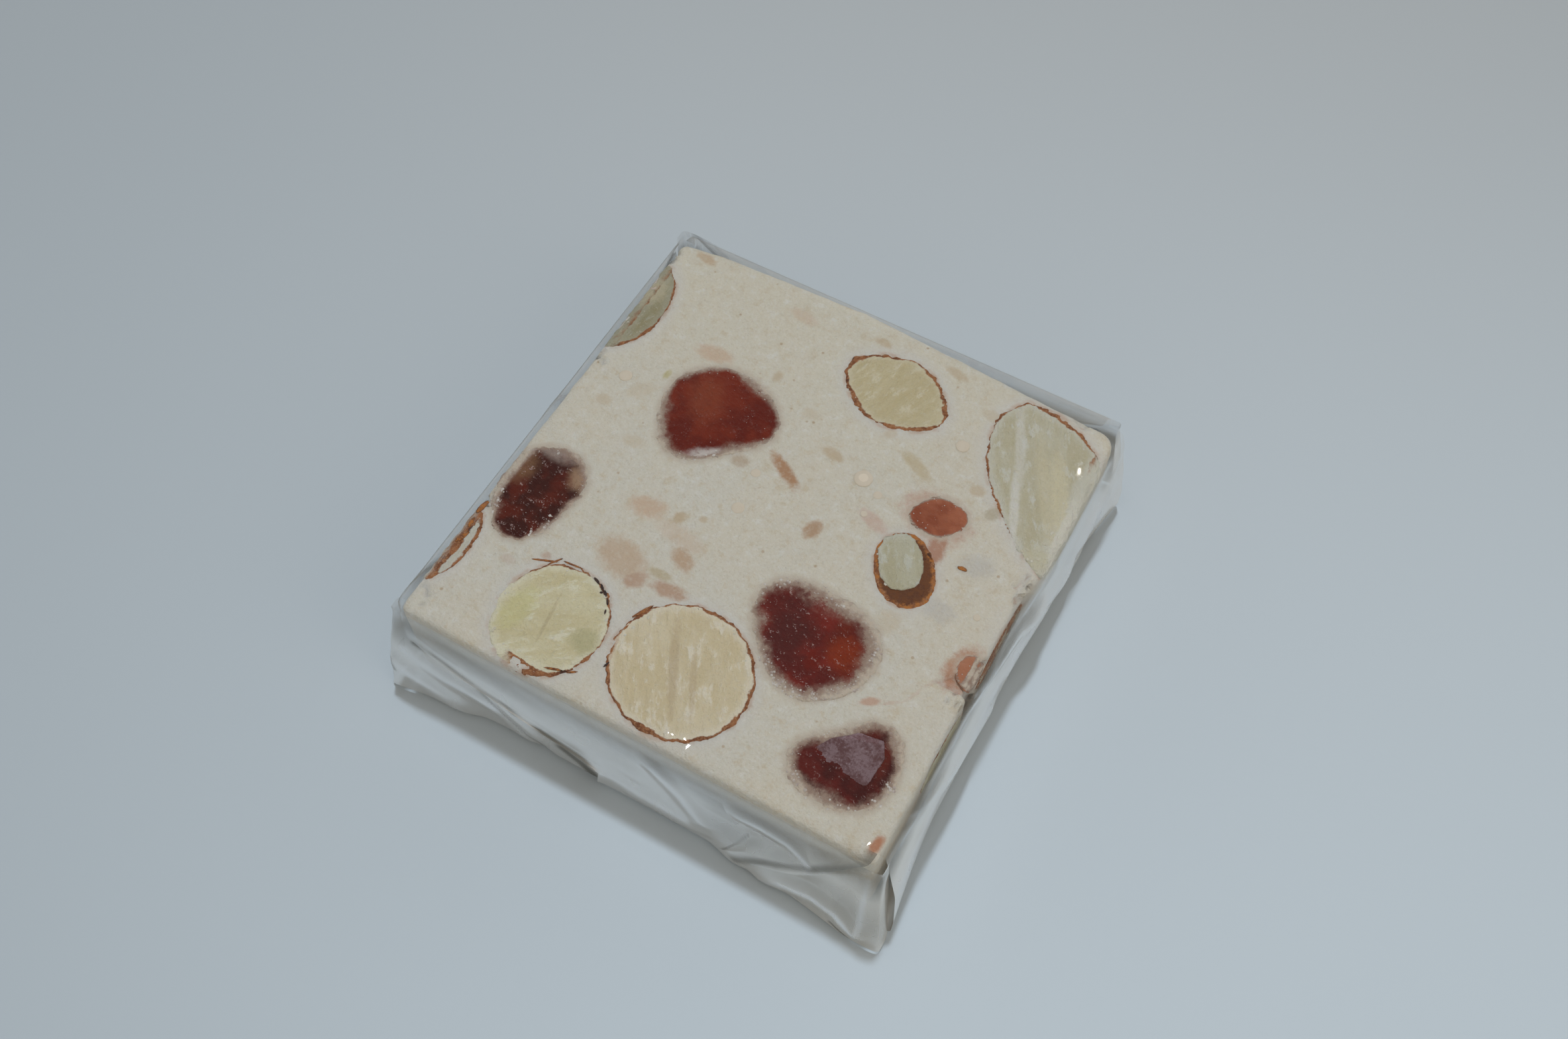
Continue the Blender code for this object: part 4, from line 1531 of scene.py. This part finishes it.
# the flap's path down the end as (y, z): over the edge, out, and back in under the bar
FLAP_PATH = ((-TUBE_END, FILM_TOP), (-END - 0.1, FILM_TOP - 0.2), (-END - 0.6, 9))
FLAP_PATH += ((-END - 1.0, 5), (-END - 1.2, 3), (-END - 1.2, 1.2), (-END - 1.0, 0.25))
FLAP_PATH += ((-END + 1.5, 0.15), (-13, 0.12))


def gusset(name, side):
    """The layer that closes an end from side wall to side wall."""
    sheet, across, up = flat_sheet(name, 200, 56)
    z = FILM_LOW + up * (FILM_TOP - 0.35 - FILM_LOW)
    out_x = SIDE + 0.1
    corners = ((-out_x, -TUBE_END), (-out_x, -END), (out_x + 0.3, -END), (out_x + 0.3, -TUBE_END))
    plan = bent_path(corners, across, 0.3)
    rise, marks = crumple(plan[:, 0], z, GUSSET_LINES)
    low = np.clip((FILM_TOP - z) / 14, 0, 1)
    out = rise + 0.5 * np.sin(low * math.pi) + 0.85 * low**2
    front = plan[:, 1] < -END + 0.5
    y = plan[:, 1] - np.where(front, out, 0)
    points = np.stack([plan[:, 0] * side, y * side, z], axis=1)
    return film_piece(sheet, points, marks)


def flap(name, side):
    """The layer that folds down from the top and is tucked under the bar."""
    sheet, across, down = flat_sheet(name, 160, 120)
    path = bent_path(FLAP_PATH, down, 0.4)
    z = path[:, 1]
    left = np.interp(z, *np.array(FLAP_LEFT[::-1]).T)
    right = np.interp(z, *np.array(FLAP_RIGHT[::-1]).T)
    x = left + across * (right - left)
    rise, marks = crumple(x, z, FLAP_LINES)
    wall = np.clip((FILM_TOP - z) / 2.0, 0, 1) * np.clip((z - 0.3) / 1.5, 0, 1)
    edge = np.minimum(across, 1 - across) * (right - left)
    curl = 0.35 * np.exp(-edge / 1.2) * np.clip((FILM_TOP - z) / 6, 0, 1)
    y = path[:, 0] - (rise + curl) * wall
    # A thin painted highlight along the flap's free edges, besides the light their curl catches.
    marks["whitening_and_highlight"] = np.maximum(marks["whitening_and_highlight"], 0.25 * np.exp(-edge / 0.15) * wall)
    points = np.stack([x * side, y * side, z], axis=1)
    return film_piece(sheet, points, marks)


for side, where in ((1, "near"), (-1, "far")):
    gusset(f"film_gusset_{where}", side)
    flap(f"film_flap_{where}", side)
print("two ends, each with a gusset and a flap")
